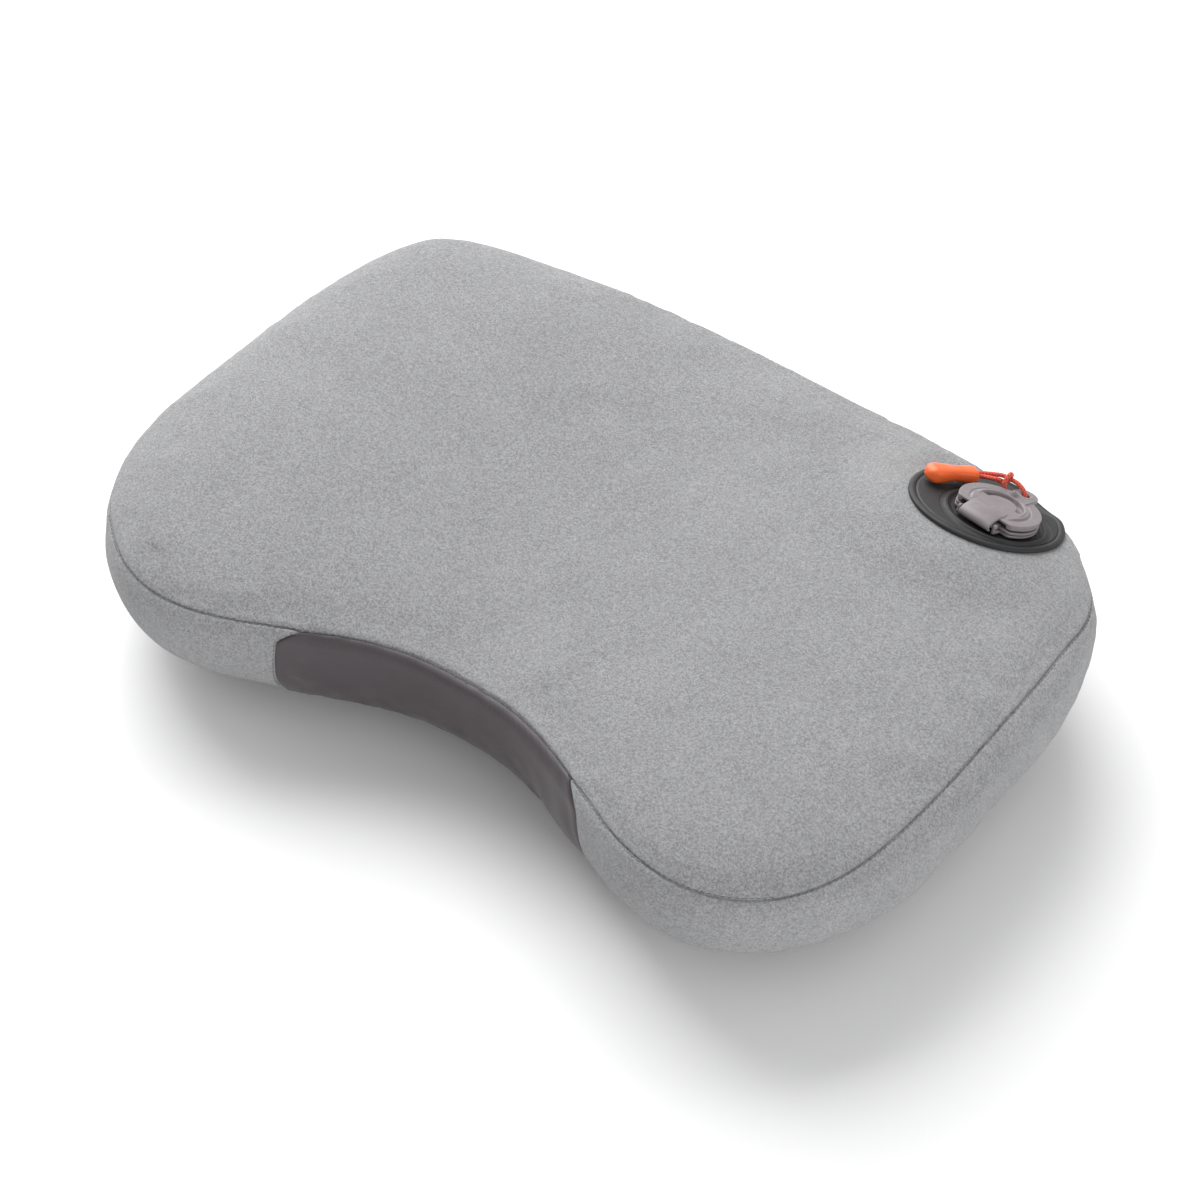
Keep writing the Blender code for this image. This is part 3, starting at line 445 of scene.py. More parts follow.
def nap_group():
    """Brushed cloth: short fibres in soft tufts, with patches where the nap lies another way."""
    if "brushed_nap" in bpy.data.node_groups:
        return bpy.data.node_groups["brushed_nap"]
    inputs = [("Tuft scale", 1150.0), ("Patch scale", 26.0), ("Raised", (0.4, 0.4, 0.4)),
              ("Low", (0.3, 0.3, 0.3))]
    group, into, out = node_group("brushed_nap", inputs)
    place = add_node(group, "ShaderNodeTexCoord").outputs["Object"]
    tufts = noise_node(group, place, into.outputs["Tuft scale"], 4.0, 0.62, 0.9)
    fibre_scale = math_node(group, "MULTIPLY", into.outputs["Tuft scale"], 2.7)
    fibres = noise_node(group, place, fibre_scale, 2.0, 0.7, 1.6)
    clump_scale = math_node(group, "MULTIPLY", into.outputs["Tuft scale"], 0.32)
    clumps = noise_node(group, place, clump_scale, 2.0, 0.5)
    patches = noise_node(group, place, into.outputs["Patch scale"], 3.0, 0.55, 0.4)
    grain = math_node(group, "ADD", math_node(group, "MULTIPLY", ramp(group, tufts, 0.36, 0.66), 0.62),
                      math_node(group, "MULTIPLY", ramp(group, fibres, 0.35, 0.68), 0.38))
    tone = math_node(group, "ADD", math_node(group, "MULTIPLY", grain, 0.83),
                     math_node(group, "MULTIPLY", ramp(group, clumps, 0.3, 0.7), 0.10))
    tone = math_node(group, "ADD", tone, math_node(group, "MULTIPLY", ramp(group, patches, 0.28, 0.72), 0.07))
    blend = add_node(group, "ShaderNodeMix", data_type="RGBA")
    group.links.new(tone, blend.inputs["Factor"])
    group.links.new(into.outputs["Low"], blend.inputs["A"])
    group.links.new(into.outputs["Raised"], blend.inputs["B"])
    for source, target in ((blend.outputs["Result"], "Colour"), (grain, "Height")):
        group.links.new(source, out.inputs[target])
    rough = math_node(group, "SUBTRACT", 0.98, math_node(group, "MULTIPLY", grain, 0.10))
    group.links.new(rough, out.inputs["Rough"])
    return group


def weave_group():
    """A fine plain weave with slight streaks, as in taffeta and sewing thread."""
    if "plain_weave" in bpy.data.node_groups:
        return bpy.data.node_groups["plain_weave"]
    inputs = [("Threads", 3400.0), ("Streak", 0.25), ("Colour", (0.1, 0.1, 0.1))]
    group, into, out = node_group("plain_weave", inputs)
    place = add_node(group, "ShaderNodeTexCoord").outputs["Object"]
    parts = add_node(group, "ShaderNodeSeparateXYZ", {0: place})
    across = math_node(group, "MULTIPLY", math_node(group, "ADD", parts.outputs["X"], parts.outputs["Y"]),
                       into.outputs["Threads"])
    upward = math_node(group, "MULTIPLY", math_node(group, "SUBTRACT", parts.outputs["Z"],
                                                    math_node(group, "MULTIPLY", parts.outputs["Y"], 0.6)),
                       into.outputs["Threads"])
    woven = math_node(group, "MULTIPLY", math_node(group, "SINE", across), math_node(group, "SINE", upward))
    stretch = add_node(group, "ShaderNodeMapping", {"Vector": place, "Scale": (60, 60, 900)})
    streaks = noise_node(group, stretch.outputs["Vector"], 1.0, 3.0, 0.6)
    slubs = noise_node(group, place, 55.0, 2.0, 0.5)
    tone = math_node(group, "ADD", math_node(group, "MULTIPLY", streaks, into.outputs["Streak"]),
                     math_node(group, "MULTIPLY", slubs, 0.22))
    tone = math_node(group, "ADD", tone, math_node(group, "MULTIPLY", woven, 0.07))
    bright = math_node(group, "ADD", tone, 0.76)
    shaded = add_node(group, "ShaderNodeMix", data_type="RGBA", blend_type="MULTIPLY")
    shaded.inputs["Factor"].default_value = 1.0
    group.links.new(into.outputs["Colour"], shaded.inputs["A"])
    grey = add_node(group, "ShaderNodeCombineColor", {"Red": bright, "Green": bright, "Blue": bright})
    group.links.new(grey.outputs["Color"], shaded.inputs["B"])
    group.links.new(shaded.outputs["Result"], out.inputs["Colour"])
    group.links.new(woven, out.inputs["Height"])
    rough = math_node(group, "ADD", math_node(group, "MULTIPLY", streaks, 0.16), 0.42)
    group.links.new(rough, out.inputs["Rough"])
    return group


def moulded_group():
    """Moulded soft plastic: a fine mould grain, faint flow marks and rubbed patches."""
    if "moulded_surface" in bpy.data.node_groups:
        return bpy.data.node_groups["moulded_surface"]
    inputs = [("Grain scale", 3000.0), ("Rough", 0.5), ("Colour", (0.1, 0.1, 0.1)),
              ("Worn", (0.2, 0.2, 0.2))]
    group, into, out = node_group("moulded_surface", inputs)
    place = add_node(group, "ShaderNodeTexCoord").outputs["Object"]
    grain = noise_node(group, place, into.outputs["Grain scale"], 2.0, 0.5)
    flow = noise_node(group, place, 190.0, 4.0, 0.6, 0.8)
    rubbed = ramp(group, flow, 0.46, 0.74)
    blend = add_node(group, "ShaderNodeMix", data_type="RGBA")
    group.links.new(math_node(group, "MULTIPLY", rubbed, 0.55), blend.inputs["Factor"])
    group.links.new(into.outputs["Colour"], blend.inputs["A"])
    group.links.new(into.outputs["Worn"], blend.inputs["B"])
    group.links.new(blend.outputs["Result"], out.inputs["Colour"])
    group.links.new(grain, out.inputs["Height"])
    spread = math_node(group, "MULTIPLY", math_node(group, "SUBTRACT", flow, 0.5), 0.28)
    group.links.new(math_node(group, "ADD", into.outputs["Rough"], spread), out.inputs["Rough"])
    return group


def finish_material(name, group, values, bump, distance, **uniform):
    """A Principled material fed by a shared group: colour, roughness and a bump of real height."""
    if name in bpy.data.materials:
        return bpy.data.materials[name]
    material = bpy.data.materials.new(name)
    material.use_nodes = True
    tree = material.node_tree
    shader = tree.nodes["Principled BSDF"]
    surface = tree.nodes.new("ShaderNodeGroup")
    surface.node_tree = group
    for key, value in values.items():
        surface.inputs[key].default_value = (*value, 1) if hasattr(value, "__len__") else value
    relief = add_node(tree, "ShaderNodeBump", {"Strength": bump, "Distance": distance})
    tree.links.new(surface.outputs["Height"], relief.inputs["Height"])
    tree.links.new(surface.outputs["Colour"], shader.inputs["Base Color"])
    tree.links.new(surface.outputs["Rough"], shader.inputs["Roughness"])
    tree.links.new(relief.outputs["Normal"], shader.inputs["Normal"])
    for key, value in uniform.items():
        shader.inputs[key.replace("_", " ")].default_value = value
    material.diffuse_color = shader.inputs["Base Color"].default_value
    return material


def brushed_cloth():
    """Finish of the crown and the side band."""
    c = bpy.context.scene.pillow_colours
    values = {"Raised": tuple(c.brushed), "Low": tuple(c.brushed_dark)}
    uniform = {"Sheen_Weight": 0.22, "Sheen_Roughness": 0.55, "Specular_IOR_Level": 0.15}
    return finish_material("brushed cloth", nap_group(), values, 0.7, 0.6 * MM, **uniform)


def taffeta_and_base_shade_cloth():
    """Finish of the neck panel and the base; on the base its dark colour is also painted shade for the shadow
    line along the bottom edge.
    """
    c = bpy.context.scene.pillow_colours
    uniform = {"Sheen_Weight": 0.12, "Sheen_Roughness": 0.4, "Specular_IOR_Level": 0.35}
    values = {"Colour": tuple(c.taffeta_and_base_shade)}
    return finish_material("dark taffeta", weave_group(), values, 0.35, 0.08 * MM, **uniform)


def sewing_thread():
    """Finish of the stitches."""
    c = bpy.context.scene.pillow_colours
    values = {"Colour": tuple(c.thread), "Threads": 9000.0, "Streak": 0.4}
    return finish_material("sewing thread", weave_group(), values, 0.4, 0.05 * MM)


def moulded(name, tint, rough, grain=3000.0, worn=1.35, bump=0.25):
    """Finish of a moulded part."""
    light = tuple(min(1, v * worn) for v in tint)
    values = {"Colour": tuple(tint), "Worn": light, "Rough": rough, "Grain scale": grain}
    return finish_material(name, moulded_group(), values, bump, 0.06 * MM, Specular_IOR_Level=0.42)


# ---------------------------------------------------------------- the cover
class CoverGrid:
    """The cover's mesh: a square grid on the crown and base, even rings at the seams, a band between."""

    def __init__(self):
        cell = bpy.context.scene.pillow_cover.cell
        left_end, right_end = NECK_MIDDLE - NECK_TOP, NECK_MIDDLE + NECK_TOP
        flank, flank_run = self.spread(CORNERS[0], left_end, cell, False, True)
        neck, neck_run = self.spread(left_end, right_end, cell, True, True)
        side, _ = self.spread(CORNERS[1], CORNERS[2], cell, False, False)
        self.flank, self.neck = flank, neck
        front_mm = np.concatenate([flank_run, flank_run[-1] + neck_run[1:],
                                   flank_run[-1] + neck_run[-1] + (flank_run[-1] - flank_run[::-1])[1:]])
        self.u = 2 * front_mm / front_mm[-1] - 1
        self.v = np.linspace(-1, 1, len(side))
        self.columns = 2 * (len(self.u) - 1) + 2 * (len(self.v) - 1)
        self.neck_start = len(flank) - 1
        self.neck_end = self.neck_start + len(neck) - 1
        right = self.angles(CORNERS[1], CORNERS[2], (self.v + 1) / 2)
        back = self.angles(CORNERS[2], CORNERS[3], (1 - self.u[::-1]) / 2)
        left = self.angles(CORNERS[3], CORNERS[4], (self.v + 1) / 2)
        self.rest = np.concatenate([right[:-1], back[:-1], left[:-1]])
        u, v, root = self.u, self.v, math.sqrt(0.5)
        wide_u, wide_v = np.sqrt(1 - u * u / 2), np.sqrt(1 - v * v / 2)
        around = [np.arctan2(-wide_u, u * root)[:-1], np.arctan2(v * root, wide_v)[:-1],
                  np.arctan2(wide_u, u * root)[::-1][:-1], np.arctan2(v * root, -wide_v)[::-1][:-1]]
        self.turn = np.unwrap(np.concatenate(around))

    def spread(self, start, end, cell, near_start, near_end):
        """Angles from start to end by graded steps of length, and the length at each."""
        fine = np.linspace(start, end, 1201)
        run = run_of(free_skin(fine, fine * 0))
        shares = graded(run[-1], cell, near_start, near_end)
        return np.interp(shares * run[-1], run, fine), shares * run[-1]

    def angles(self, start, end, shares):
        fine = np.linspace(start, end, 1201)
        run = run_of(free_skin(fine, fine * 0))
        return np.interp(shares * run[-1], run, fine)

    def theta(self, level):
        """Plan angle of every column; the neck panel's ends move out towards the base."""
        half = neck_half(level)
        part = (self.flank - CORNERS[0]) / (self.flank[-1] - CORNERS[0])
        left = CORNERS[0] + part * (NECK_MIDDLE - half - CORNERS[0])
        neck = NECK_MIDDLE + (self.neck - NECK_MIDDLE) / NECK_TOP * half
        right = 2 * NECK_MIDDLE - left[::-1]
        return np.concatenate([left[:-1], neck[:-1], right[:-1], self.rest])


def latitude_table(theta, seam, pole, steps=160):
    """Latitude at even shares of the way over the skin from the pole (0) to the seam (1), and that length."""
    lats = seam[:, None] + (pole - seam)[:, None] * (1 - np.linspace(0, 1, 420)[None, :])
    fine_theta = np.repeat(theta[:, None], lats.shape[1], axis=1)
    points = skin(fine_theta, lats)
    steps_mm = np.linalg.norm(np.diff(points, axis=1), axis=-1)
    run = np.concatenate([np.zeros((len(theta), 1)), np.cumsum(steps_mm, axis=1)], axis=1)
    shares = np.linspace(0, 1, steps)
    table = np.stack([np.interp(shares * r[-1], r, l) for r, l in zip(run, lats)])
    return table, run[:, -1]


def sample(table, column, share_out):
    """Reads the table between its columns (going round) and its shares."""
    count, steps = table.shape
    k = np.clip(share_out, 0, 1) * (steps - 1)
    k0 = np.clip(np.floor(k).astype(int), 0, steps - 2)
    c0 = np.floor(column).astype(int) % count
    c1, between, part = (c0 + 1) % count, column - np.floor(column), k - k0
    near = table[c0, k0] * (1 - part) + table[c0, k0 + 1] * part
    far = table[c1, k0] * (1 - part) + table[c1, k0 + 1] * part
    return near * (1 - between) + far * between


RING_PLACES = np.array([12, 9.5, 7.2, 5.4, 4.0, 2.9, 2.0, 1.3, 0.75, 0.35, 0.0]) * MM


def cap_surface(grid, level, seam, pole):
    """Points of the crown or base: the inner grid, the rings out to the seam, and how far each is from it."""
    theta = grid.theta(level)
    table, length = latitude_table(theta, seam, np.full_like(theta, pole))
    inner_share = 1 - RING / length
    u, v = np.meshgrid(grid.u, grid.v, indexing="ij")
    p, q = u * np.sqrt(1 - v * v / 2), v * np.sqrt(1 - u * u / 2)
    radius = np.hypot(p, q)
    turn = np.arctan2(q, p)
    start = grid.turn[0]
    turn = start + np.mod(turn - start + 1e-9, 2 * np.pi) - 1e-9
    knots = np.concatenate([grid.turn, [grid.turn[0] + 2 * np.pi]])
    column = np.interp(turn, knots, np.arange(grid.columns + 1))
    angle = np.interp(column, np.arange(grid.columns + 1), np.concatenate([theta, [theta[0] + 2 * np.pi]]))
    limit = np.interp(column, np.arange(grid.columns + 1), np.concatenate([inner_share, inner_share[:1]]))
    lat = sample(table, column, radius * limit)
    inner = skin(angle, lat)
    rings, away = [], []
    for place in RING_PLACES[1:]:
        ring_share = 1 - place / length
        ring_lat = sample(table, np.arange(grid.columns, dtype=float), ring_share)
        rings.append(skin(theta, ring_lat))
        away.append(np.full(grid.columns, place))
    inner_away = (1 - radius * limit) * np.interp(column, np.arange(grid.columns + 1),
                                                  np.concatenate([length, length[:1]]))
    return inner, inner_away, rings, away


def band_surface(grid):
    """Rows of the band from the top seam to the base seam, without the two seams, with both distances."""
    cover = bpy.context.scene.pillow_cover
    levels = np.linspace(1, 0, 161)
    sheets = []
    for level in levels:
        theta = grid.theta(level)
        lat = BASE_SEAM + (top_seam(theta) - BASE_SEAM) * level
        sheets.append(skin(theta, lat))
    sheets = np.stack(sheets)
    steps = np.linalg.norm(np.diff(sheets, axis=0), axis=-1)
    run = np.concatenate([np.zeros((1, grid.columns)), np.cumsum(steps, axis=0)])
    shares = graded(float(run[-1].mean()), cover.cell * 0.9, True, True)[1:-1]
    rows, from_top, from_base = [], [], []
    for share_down in shares:
        goal = share_down * run[-1]
        level = np.array([np.interp(g, run[:, c], levels) for c, g in enumerate(goal)])
        theta = np.array([grid.theta(1.0), grid.theta(0.0)])
        theta = theta[1] + (theta[0] - theta[1]) * neck_share(level)
        lat = BASE_SEAM + (top_seam(theta) - BASE_SEAM) * level
        rows.append(skin(theta, lat))
        from_top.append(goal)
        from_base.append(run[-1] - goal)
    return rows, from_top, from_base


def edge_loop_ids(ids):
    """The outer ring of a grid of ids, in the order of the columns."""
    return np.concatenate([ids[:-1, 0], ids[-1, :-1], ids[::-1, -1][:-1], ids[0, ::-1][:-1]])


def cover_mesh():
    """Vertices, faces, face materials and the seam distances of the whole cover."""
    grid = CoverGrid()
    top_theta = grid.theta(1.0)
    base = np.full(grid.columns, BASE_SEAM)
    crown = cap_surface(grid, 1.0, top_seam(top_theta), POLE)
    foot = cap_surface(grid, 0.0, base, -POLE)
    band_rows, from_top, from_base = band_surface(grid)
    far = 1.0
    points, top_away, base_away, neck_away, faces, kinds = [], [], [], [], [], []
    count = 0

    def take(block, top_distance, base_distance, neck_distance):
        nonlocal count
        flat = block.reshape(-1, 3)
        points.append(flat)
        for store, values in ((top_away, top_distance), (base_away, base_distance),
                              (neck_away, neck_distance)):
            store.append(np.broadcast_to(values, block.shape[:-1]).reshape(-1))
        ids = np.arange(count, count + len(flat)).reshape(block.shape[:-1])
        count += len(flat)
        return ids

    def grid_faces(ids, kind, flip):
        a, b, c, d = ids[:-1, :-1], ids[1:, :-1], ids[1:, 1:], ids[:-1, 1:]
        order = (a, d, c, b) if flip else (a, b, c, d)
        faces.append(np.stack([x.reshape(-1) for x in order], axis=1))
        kinds.append(np.full(a.size, kind))

    def ring_faces(upper, lower, kind):
        after = np.roll(np.arange(grid.columns), -1)
        faces.append(np.stack([upper, lower, lower[after], upper[after]], axis=1))
        kinds.append(np.broadcast_to(kind, grid.columns).copy())

    inner, away, rings, ring_away = crown
    crown_ids = take(inner, away, far, far)
    grid_faces(crown_ids, 0, False)
    last = edge_loop_ids(crown_ids)
    for ring, distance in zip(rings, ring_away):
        ids = take(ring, distance, far, far)
        ring_faces(last, ids, 0)
        last = ids
    column = np.arange(grid.columns)
    in_neck = (column >= grid.neck_start) & (column < grid.neck_end)
    band_kind = np.where(in_neck, 1, 0)
    for row, high, low in zip(band_rows, from_top, from_base):
        run = np.concatenate([[0], np.cumsum(np.linalg.norm(row[1:] - row[:-1], axis=1))])
        ends = run[[grid.neck_start, grid.neck_end]]
        to_neck = np.minimum(np.abs(run - ends[0]), np.abs(run - ends[1]))
        ids = take(row, high, low, to_neck)
        ring_faces(last, ids, band_kind)
        last = ids
    # The base's rings and grid take finish 1, the dark taffeta: the base's cloth, and painted shade along the
    # bottom edge.
    inner, away, rings, ring_away = foot
    first = True
    for ring, distance in list(zip(rings, ring_away))[::-1]:
        ids = take(ring, far, distance, far)
        ring_faces(last, ids, band_kind if first else 1)
        first = False
        last = ids
    foot_ids = take(inner, far, away, far)
    grid_faces(foot_ids, 1, True)
    ring_faces(last, edge_loop_ids(foot_ids), 1)
    away = [np.concatenate(store) for store in (top_away, base_away, neck_away)]
    return np.concatenate(points), np.concatenate(faces), np.concatenate(kinds), away


def normals_of(points, faces):
    """The outward direction at every point."""
    a, b, c, d = (points[faces[:, k]] for k in range(4))
    face_normals = np.cross(c - a, d - b)
    normals = np.zeros_like(points)
    for k in range(4):
        np.add.at(normals, faces[:, k], face_normals)
    return normals / np.maximum(np.linalg.norm(normals, axis=1, keepdims=True), 1e-12)


def gathers(points, away, reach, seed, scale):
    """Small folds across a seam that fade over reach: waves along the seam, of uneven length."""
    random = np.random.default_rng(seed)
    along = np.arctan2(points[:, 1], points[:, 0]) * 0.17
    wave = np.zeros(len(points))
    for length in (7.5, 9.8, 13.1, 18.4, 26.0):
        turn = 2 * np.pi * along / (length * MM) + random.uniform(0, 2 * np.pi)
        wave += np.sin(turn) * (length / 15) ** 0.5
    patch = 0.55 + 0.45 * np.sin(along / (41 * MM) + random.uniform(0, 6)) * np.sin(along / (17 * MM))
    return scale * wave / 2.6 * patch * np.exp(-away / reach) * np.clip(away / (1.2 * MM), 0, 1)


def seam_relief(points, faces, away):
    """Pulls the seams in, eases the cloth up beside them and gathers it."""
    cover = bpy.context.scene.pillow_cover
    normals = normals_of(points, faces)
    lift = np.zeros(len(points))
    on_base = points[:, 2] < 1.5 * MM
    for number, distance in enumerate(away):
        depth = cover.groove * (1.0, 0.85, 0.8)[number]
        lift -= depth * np.exp(-(distance / cover.groove_width) ** 2)
        lift += 0.30 * depth * np.exp(-((distance - 3.4 * MM) / (2.1 * MM)) ** 2)
        lift += gathers(points, distance, (8 * MM, 9 * MM, 4 * MM)[number], 11 + number, cover.pucker)
    lift[on_base] = np.minimum(lift[on_base], 0) * 0.2
    moved = points + lift[:, None] * normals
    moved[:, 2] = np.maximum(moved[:, 2], 0)
    return moved


def settled(points, faces, away):
    """Cloth simulation of the inflated cover with its seams drawn tight; only the fine folds are kept."""
    cover = bpy.context.scene.pillow_cover
    slack = new_object("settling", points, faces, [])
    voxels = slack.modifiers.new("even mesh", "REMESH")
    voxels.mode, voxels.voxel_size = "VOXEL", 4.6 * MM
    slack = baked(slack, "settling_cloth")
    mesh = slack.data
    start = np.empty(len(mesh.vertices) * 3)
    mesh.vertices.foreach_get("co", start)
    start = start.reshape(-1, 3)
    tree = KDTree(len(points))
    for index, point in enumerate(points):
        tree.insert(point, index)
    tree.balance()
    seam_distance = np.minimum(np.minimum(away[0], away[1]), away[2])
    near = np.array([seam_distance[tree.find(p)[1]] for p in start])
    tight = slack.vertex_groups.new(name="seams")
    pinned = slack.vertex_groups.new(name="held")
    port = np.linalg.norm(start - VALVE.disc, axis=1)
    for index in np.flatnonzero(near < 7 * MM):
        tight.add([int(index)], float(1 - near[index] / (7 * MM)), "REPLACE")
    held = np.flatnonzero((start[:, 2] < 1.5 * MM) | (port < 34 * MM))
    pinned.add([int(i) for i in held], 1.0, "REPLACE")
    cloth = slack.modifiers.new("cloth", "CLOTH")
    settings = cloth.settings
    settings.quality = 6
    settings.mass = 0.12
    settings.tension_stiffness = settings.compression_stiffness = 12
    settings.shear_stiffness = 6
    settings.bending_stiffness = 0.05
    settings.use_pressure = True
    settings.uniform_pressure_force = 4.0
    settings.effector_weights.gravity = 0
    settings.vertex_group_shrink = "seams"
    settings.shrink_min, settings.shrink_max = -0.012, 0.045
    settings.vertex_group_mass = "held"
    cloth.collision_settings.use_collision = False
    scene = bpy.context.scene
    cloth.point_cache.frame_start, cloth.point_cache.frame_end = 1, cover.frames
    for number in range(1, cover.frames + 1):
        scene.frame_set(number)
    slack = baked(slack, "settled_cloth")
    end = np.empty(len(slack.data.vertices) * 3)
    slack.data.vertices.foreach_get("co", end)
    moved = end.reshape(-1, 3) - start
    edges = np.empty(len(slack.data.edges) * 2, int)
    slack.data.edges.foreach_get("vertices", edges)
    edges = edges.reshape(-1, 2)
    broad = moved.copy()
    degree = np.bincount(edges.reshape(-1), minlength=len(start))[:, None]
    for _ in range(45):
        total = np.zeros_like(broad)
        np.add.at(total, edges[:, 0], broad[edges[:, 1]])
        np.add.at(total, edges[:, 1], broad[edges[:, 0]])
        broad = total / np.maximum(degree, 1)
    calm = 0.12 + 0.88 * np.exp(-(near / (22 * MM)) ** 2)
    folds = (moved - broad) * calm[:, None]
    size_of = np.linalg.norm(folds, axis=1, keepdims=True)
    folds = folds * np.minimum(1, 1.1 * MM / np.maximum(size_of, 1e-9))
    bpy.data.objects.remove(slack, do_unlink=True)
    scene.frame_set(1)
    tree = KDTree(len(start))
    for index, point in enumerate(start):
        tree.insert(point, index)
    tree.balance()
    result = points.copy()
    for index, point in enumerate(points):
        found = tree.find_n(point, 5)
        weights = np.array([1 / (d + 1.2 * MM) ** 2 for _, _, d in found])
        shift = (folds[[i for _, i, _ in found]] * weights[:, None]).sum(axis=0) / weights.sum()
        result[index] += shift
    return result


def open_port(thing, radius):
    """Takes the cloth out of the port's circle and rounds the edge that is left."""
    maker = bmesh.new()
    maker.from_mesh(thing.data)
    axis, middle = Vector(VALVE.z), Vector(VALVE.origin)
    inside = []
    for face in maker.faces:
        away = face.calc_center_median() - middle
        height = away.dot(axis)
        if abs(height) < 20 * MM and (away - axis * height).length < radius:
            inside.append(face)
    bmesh.ops.delete(maker, geom=inside, context="FACES")
    for vertex in maker.verts:
        if vertex.is_boundary:
            away = vertex.co - middle
            height = away.dot(axis)
            flat = away - axis * height
            vertex.co = middle + axis * height + flat.normalized() * radius
    maker.to_mesh(thing.data)
    maker.free()


class PILLOW_OT_cover(Operator):
    """Makes the sewn cover: crown, side band, neck panel and base in one closed skin."""
    bl_idname = "pillow.cover"
    bl_label = "Cover"

    def execute(self, context):
        points, faces, kinds, away = cover_mesh()
        points = settled(points, faces, away)
        points = seam_relief(points, faces, away)
        skin.tree = BVHTree.FromPolygons(points.tolist(), faces.tolist())
        cover = new_object("cushion_cover", points, faces, [brushed_cloth(), taffeta_and_base_shade_cloth()], True, kinds)
        open_port(cover, COVER_HOLE)
        solid = cover.modifiers.new("cloth thickness", "SOLIDIFY")
        solid.thickness = context.scene.pillow_cover.thickness
        solid.offset = -1
        cover = baked(cover, "cushion_cover")
        deliver(cover, "cushion", ["top_panel", "side_band", "neck_panel", "base_panel"])
        return {"FINISHED"}


# ---------------------------------------------------------------- rows of stitches and ribs
def bar_row_tree():
    """Geometry Nodes: rounded bars set along a curve, at a pitch, along it or across it."""
    name = "row of bars"
    if name in bpy.data.node_groups:
        return bpy.data.node_groups[name]
    tree = bpy.data.node_groups.new(name, "GeometryNodeTree")
    face = tree.interface
    face.new_socket("Geometry", in_out="INPUT", socket_type="NodeSocketGeometry")
    for label, default in (("Pitch", 3 * MM), ("Length", 2 * MM), ("Thickness", 0.4 * MM), ("Turn", 0.0),
                           ("Slant", 0.0)):
        face.new_socket(label, in_out="INPUT", socket_type="NodeSocketFloat").default_value = default
    face.new_socket("Material", in_out="INPUT", socket_type="NodeSocketMaterial")
    face.new_socket("Geometry", in_out="OUTPUT", socket_type="NodeSocketGeometry")
    into, out = tree.nodes.new("NodeGroupInput"), tree.nodes.new("NodeGroupOutput")
    places = add_node(tree, "GeometryNodeCurveToPoints", {"Curve": into.outputs["Geometry"],
                                                          "Length": into.outputs["Pitch"]}, mode="LENGTH")
    bar = add_node(tree, "GeometryNodeMeshCylinder", {"Vertices": 6, "Radius": 0.5, "Depth": 1.0})
    rounded = add_node(tree, "GeometryNodeSubdivisionSurface", {"Mesh": bar.outputs["Mesh"], "Level": 1})
    tall = math_node(tree, "MULTIPLY", into.outputs["Thickness"], 1.35)
    long = math_node(tree, "MULTIPLY", into.outputs["Length"], 1.2)
    scale = add_node(tree, "ShaderNodeCombineXYZ", {"X": tall, "Y": tall, "Z": long})
    shaped = add_node(tree, "GeometryNodeTransform", {"Geometry": rounded.outputs["Mesh"],
                                                      "Scale": scale.outputs["Vector"],
                                                      "Rotation": (0, math.pi / 2, 0)})
    turn = add_node(tree, "ShaderNodeCombineXYZ", {"Y": into.outputs["Slant"], "Z": into.outputs["Turn"]})
    turned = add_node(tree, "GeometryNodeTransform", {"Geometry": shaped.outputs["Geometry"],
                                                      "Rotation": turn.outputs["Vector"]})
    facing = add_node(tree, "FunctionNodeAlignEulerToVector", {"Vector": places.outputs["Tangent"]}, axis="X")
    row = add_node(tree, "GeometryNodeInstanceOnPoints", {"Points": places.outputs["Points"],
                                                          "Instance": turned.outputs["Geometry"],
                                                          "Rotation": facing.outputs["Rotation"]})
    real = add_node(tree, "GeometryNodeRealizeInstances", {"Geometry": row.outputs["Instances"]})
    smooth = add_node(tree, "GeometryNodeSetShadeSmooth", {"Geometry": real.outputs["Geometry"]})
    painted = add_node(tree, "GeometryNodeSetMaterial", {"Geometry": smooth.outputs["Geometry"],
                                                         "Material": into.outputs["Material"]})
    tree.links.new(painted.outputs["Geometry"], out.inputs["Geometry"])
    return tree


def bar_row(name, points, cyclic, values, material):
    """A plain mesh of bars along the points."""
    curve = bpy.data.curves.new(name + "_line", "CURVE")
    curve.dimensions = "3D"
    line = curve.splines.new("POLY")
    line.points.add(len(points) - 1)
    for place, point in zip(line.points, points):
        place.co = (*point, 1)
    line.use_cyclic_u = cyclic
    carrier = bpy.data.objects.new(name + "_line", curve)
    bpy.context.scene.collection.objects.link(carrier)
    modifier = carrier.modifiers.new("bars", "NODES")
    modifier.node_group = bar_row_tree()
    for socket in modifier.node_group.interface.items_tree:
        if socket.in_out == "INPUT" and socket.name in values:
            modifier[socket.identifier] = values[socket.name]
        if socket.in_out == "INPUT" and socket.name == "Material":
            modifier[socket.identifier] = material
    row = baked(carrier, name)
    row.data.materials.clear()
    row.data.materials.append(material)
    row.data.polygons.foreach_set("material_index", [0] * len(row.data.polygons))
    return row


def seam_line(which, count=1400):
    """Points along a seam, just inside its groove."""
    cover = bpy.context.scene.pillow_cover
    inward = cover.groove * 0.78 - cover.thread * 0.3
    if which in ("top", "base"):
        level = 1.0 if which == "top" else 0.0
        theta = np.linspace(0, 2 * np.pi, count, endpoint=False)
        lat = top_seam(theta) if level else np.full(count, BASE_SEAM)
    else:
        levels = np.linspace(0.03, 0.97, 160)
        side = -1 if which == "neck_left" else 1
        theta = NECK_MIDDLE + side * neck_half(levels)
        lat = BASE_SEAM + (top_seam(theta) - BASE_SEAM) * levels
    step = 0.003
    along_t = skin(theta + step, lat) - skin(theta - step, lat)
    along_l = skin(theta, lat + step) - skin(theta, lat - step)
    normal = np.cross(along_t, along_l)
    normal /= np.linalg.norm(normal, axis=-1, keepdims=True)
    line = skin(theta, lat) - inward * normal
    return np.array([skin.tree.find_nearest(Vector(point))[0] for point in line])


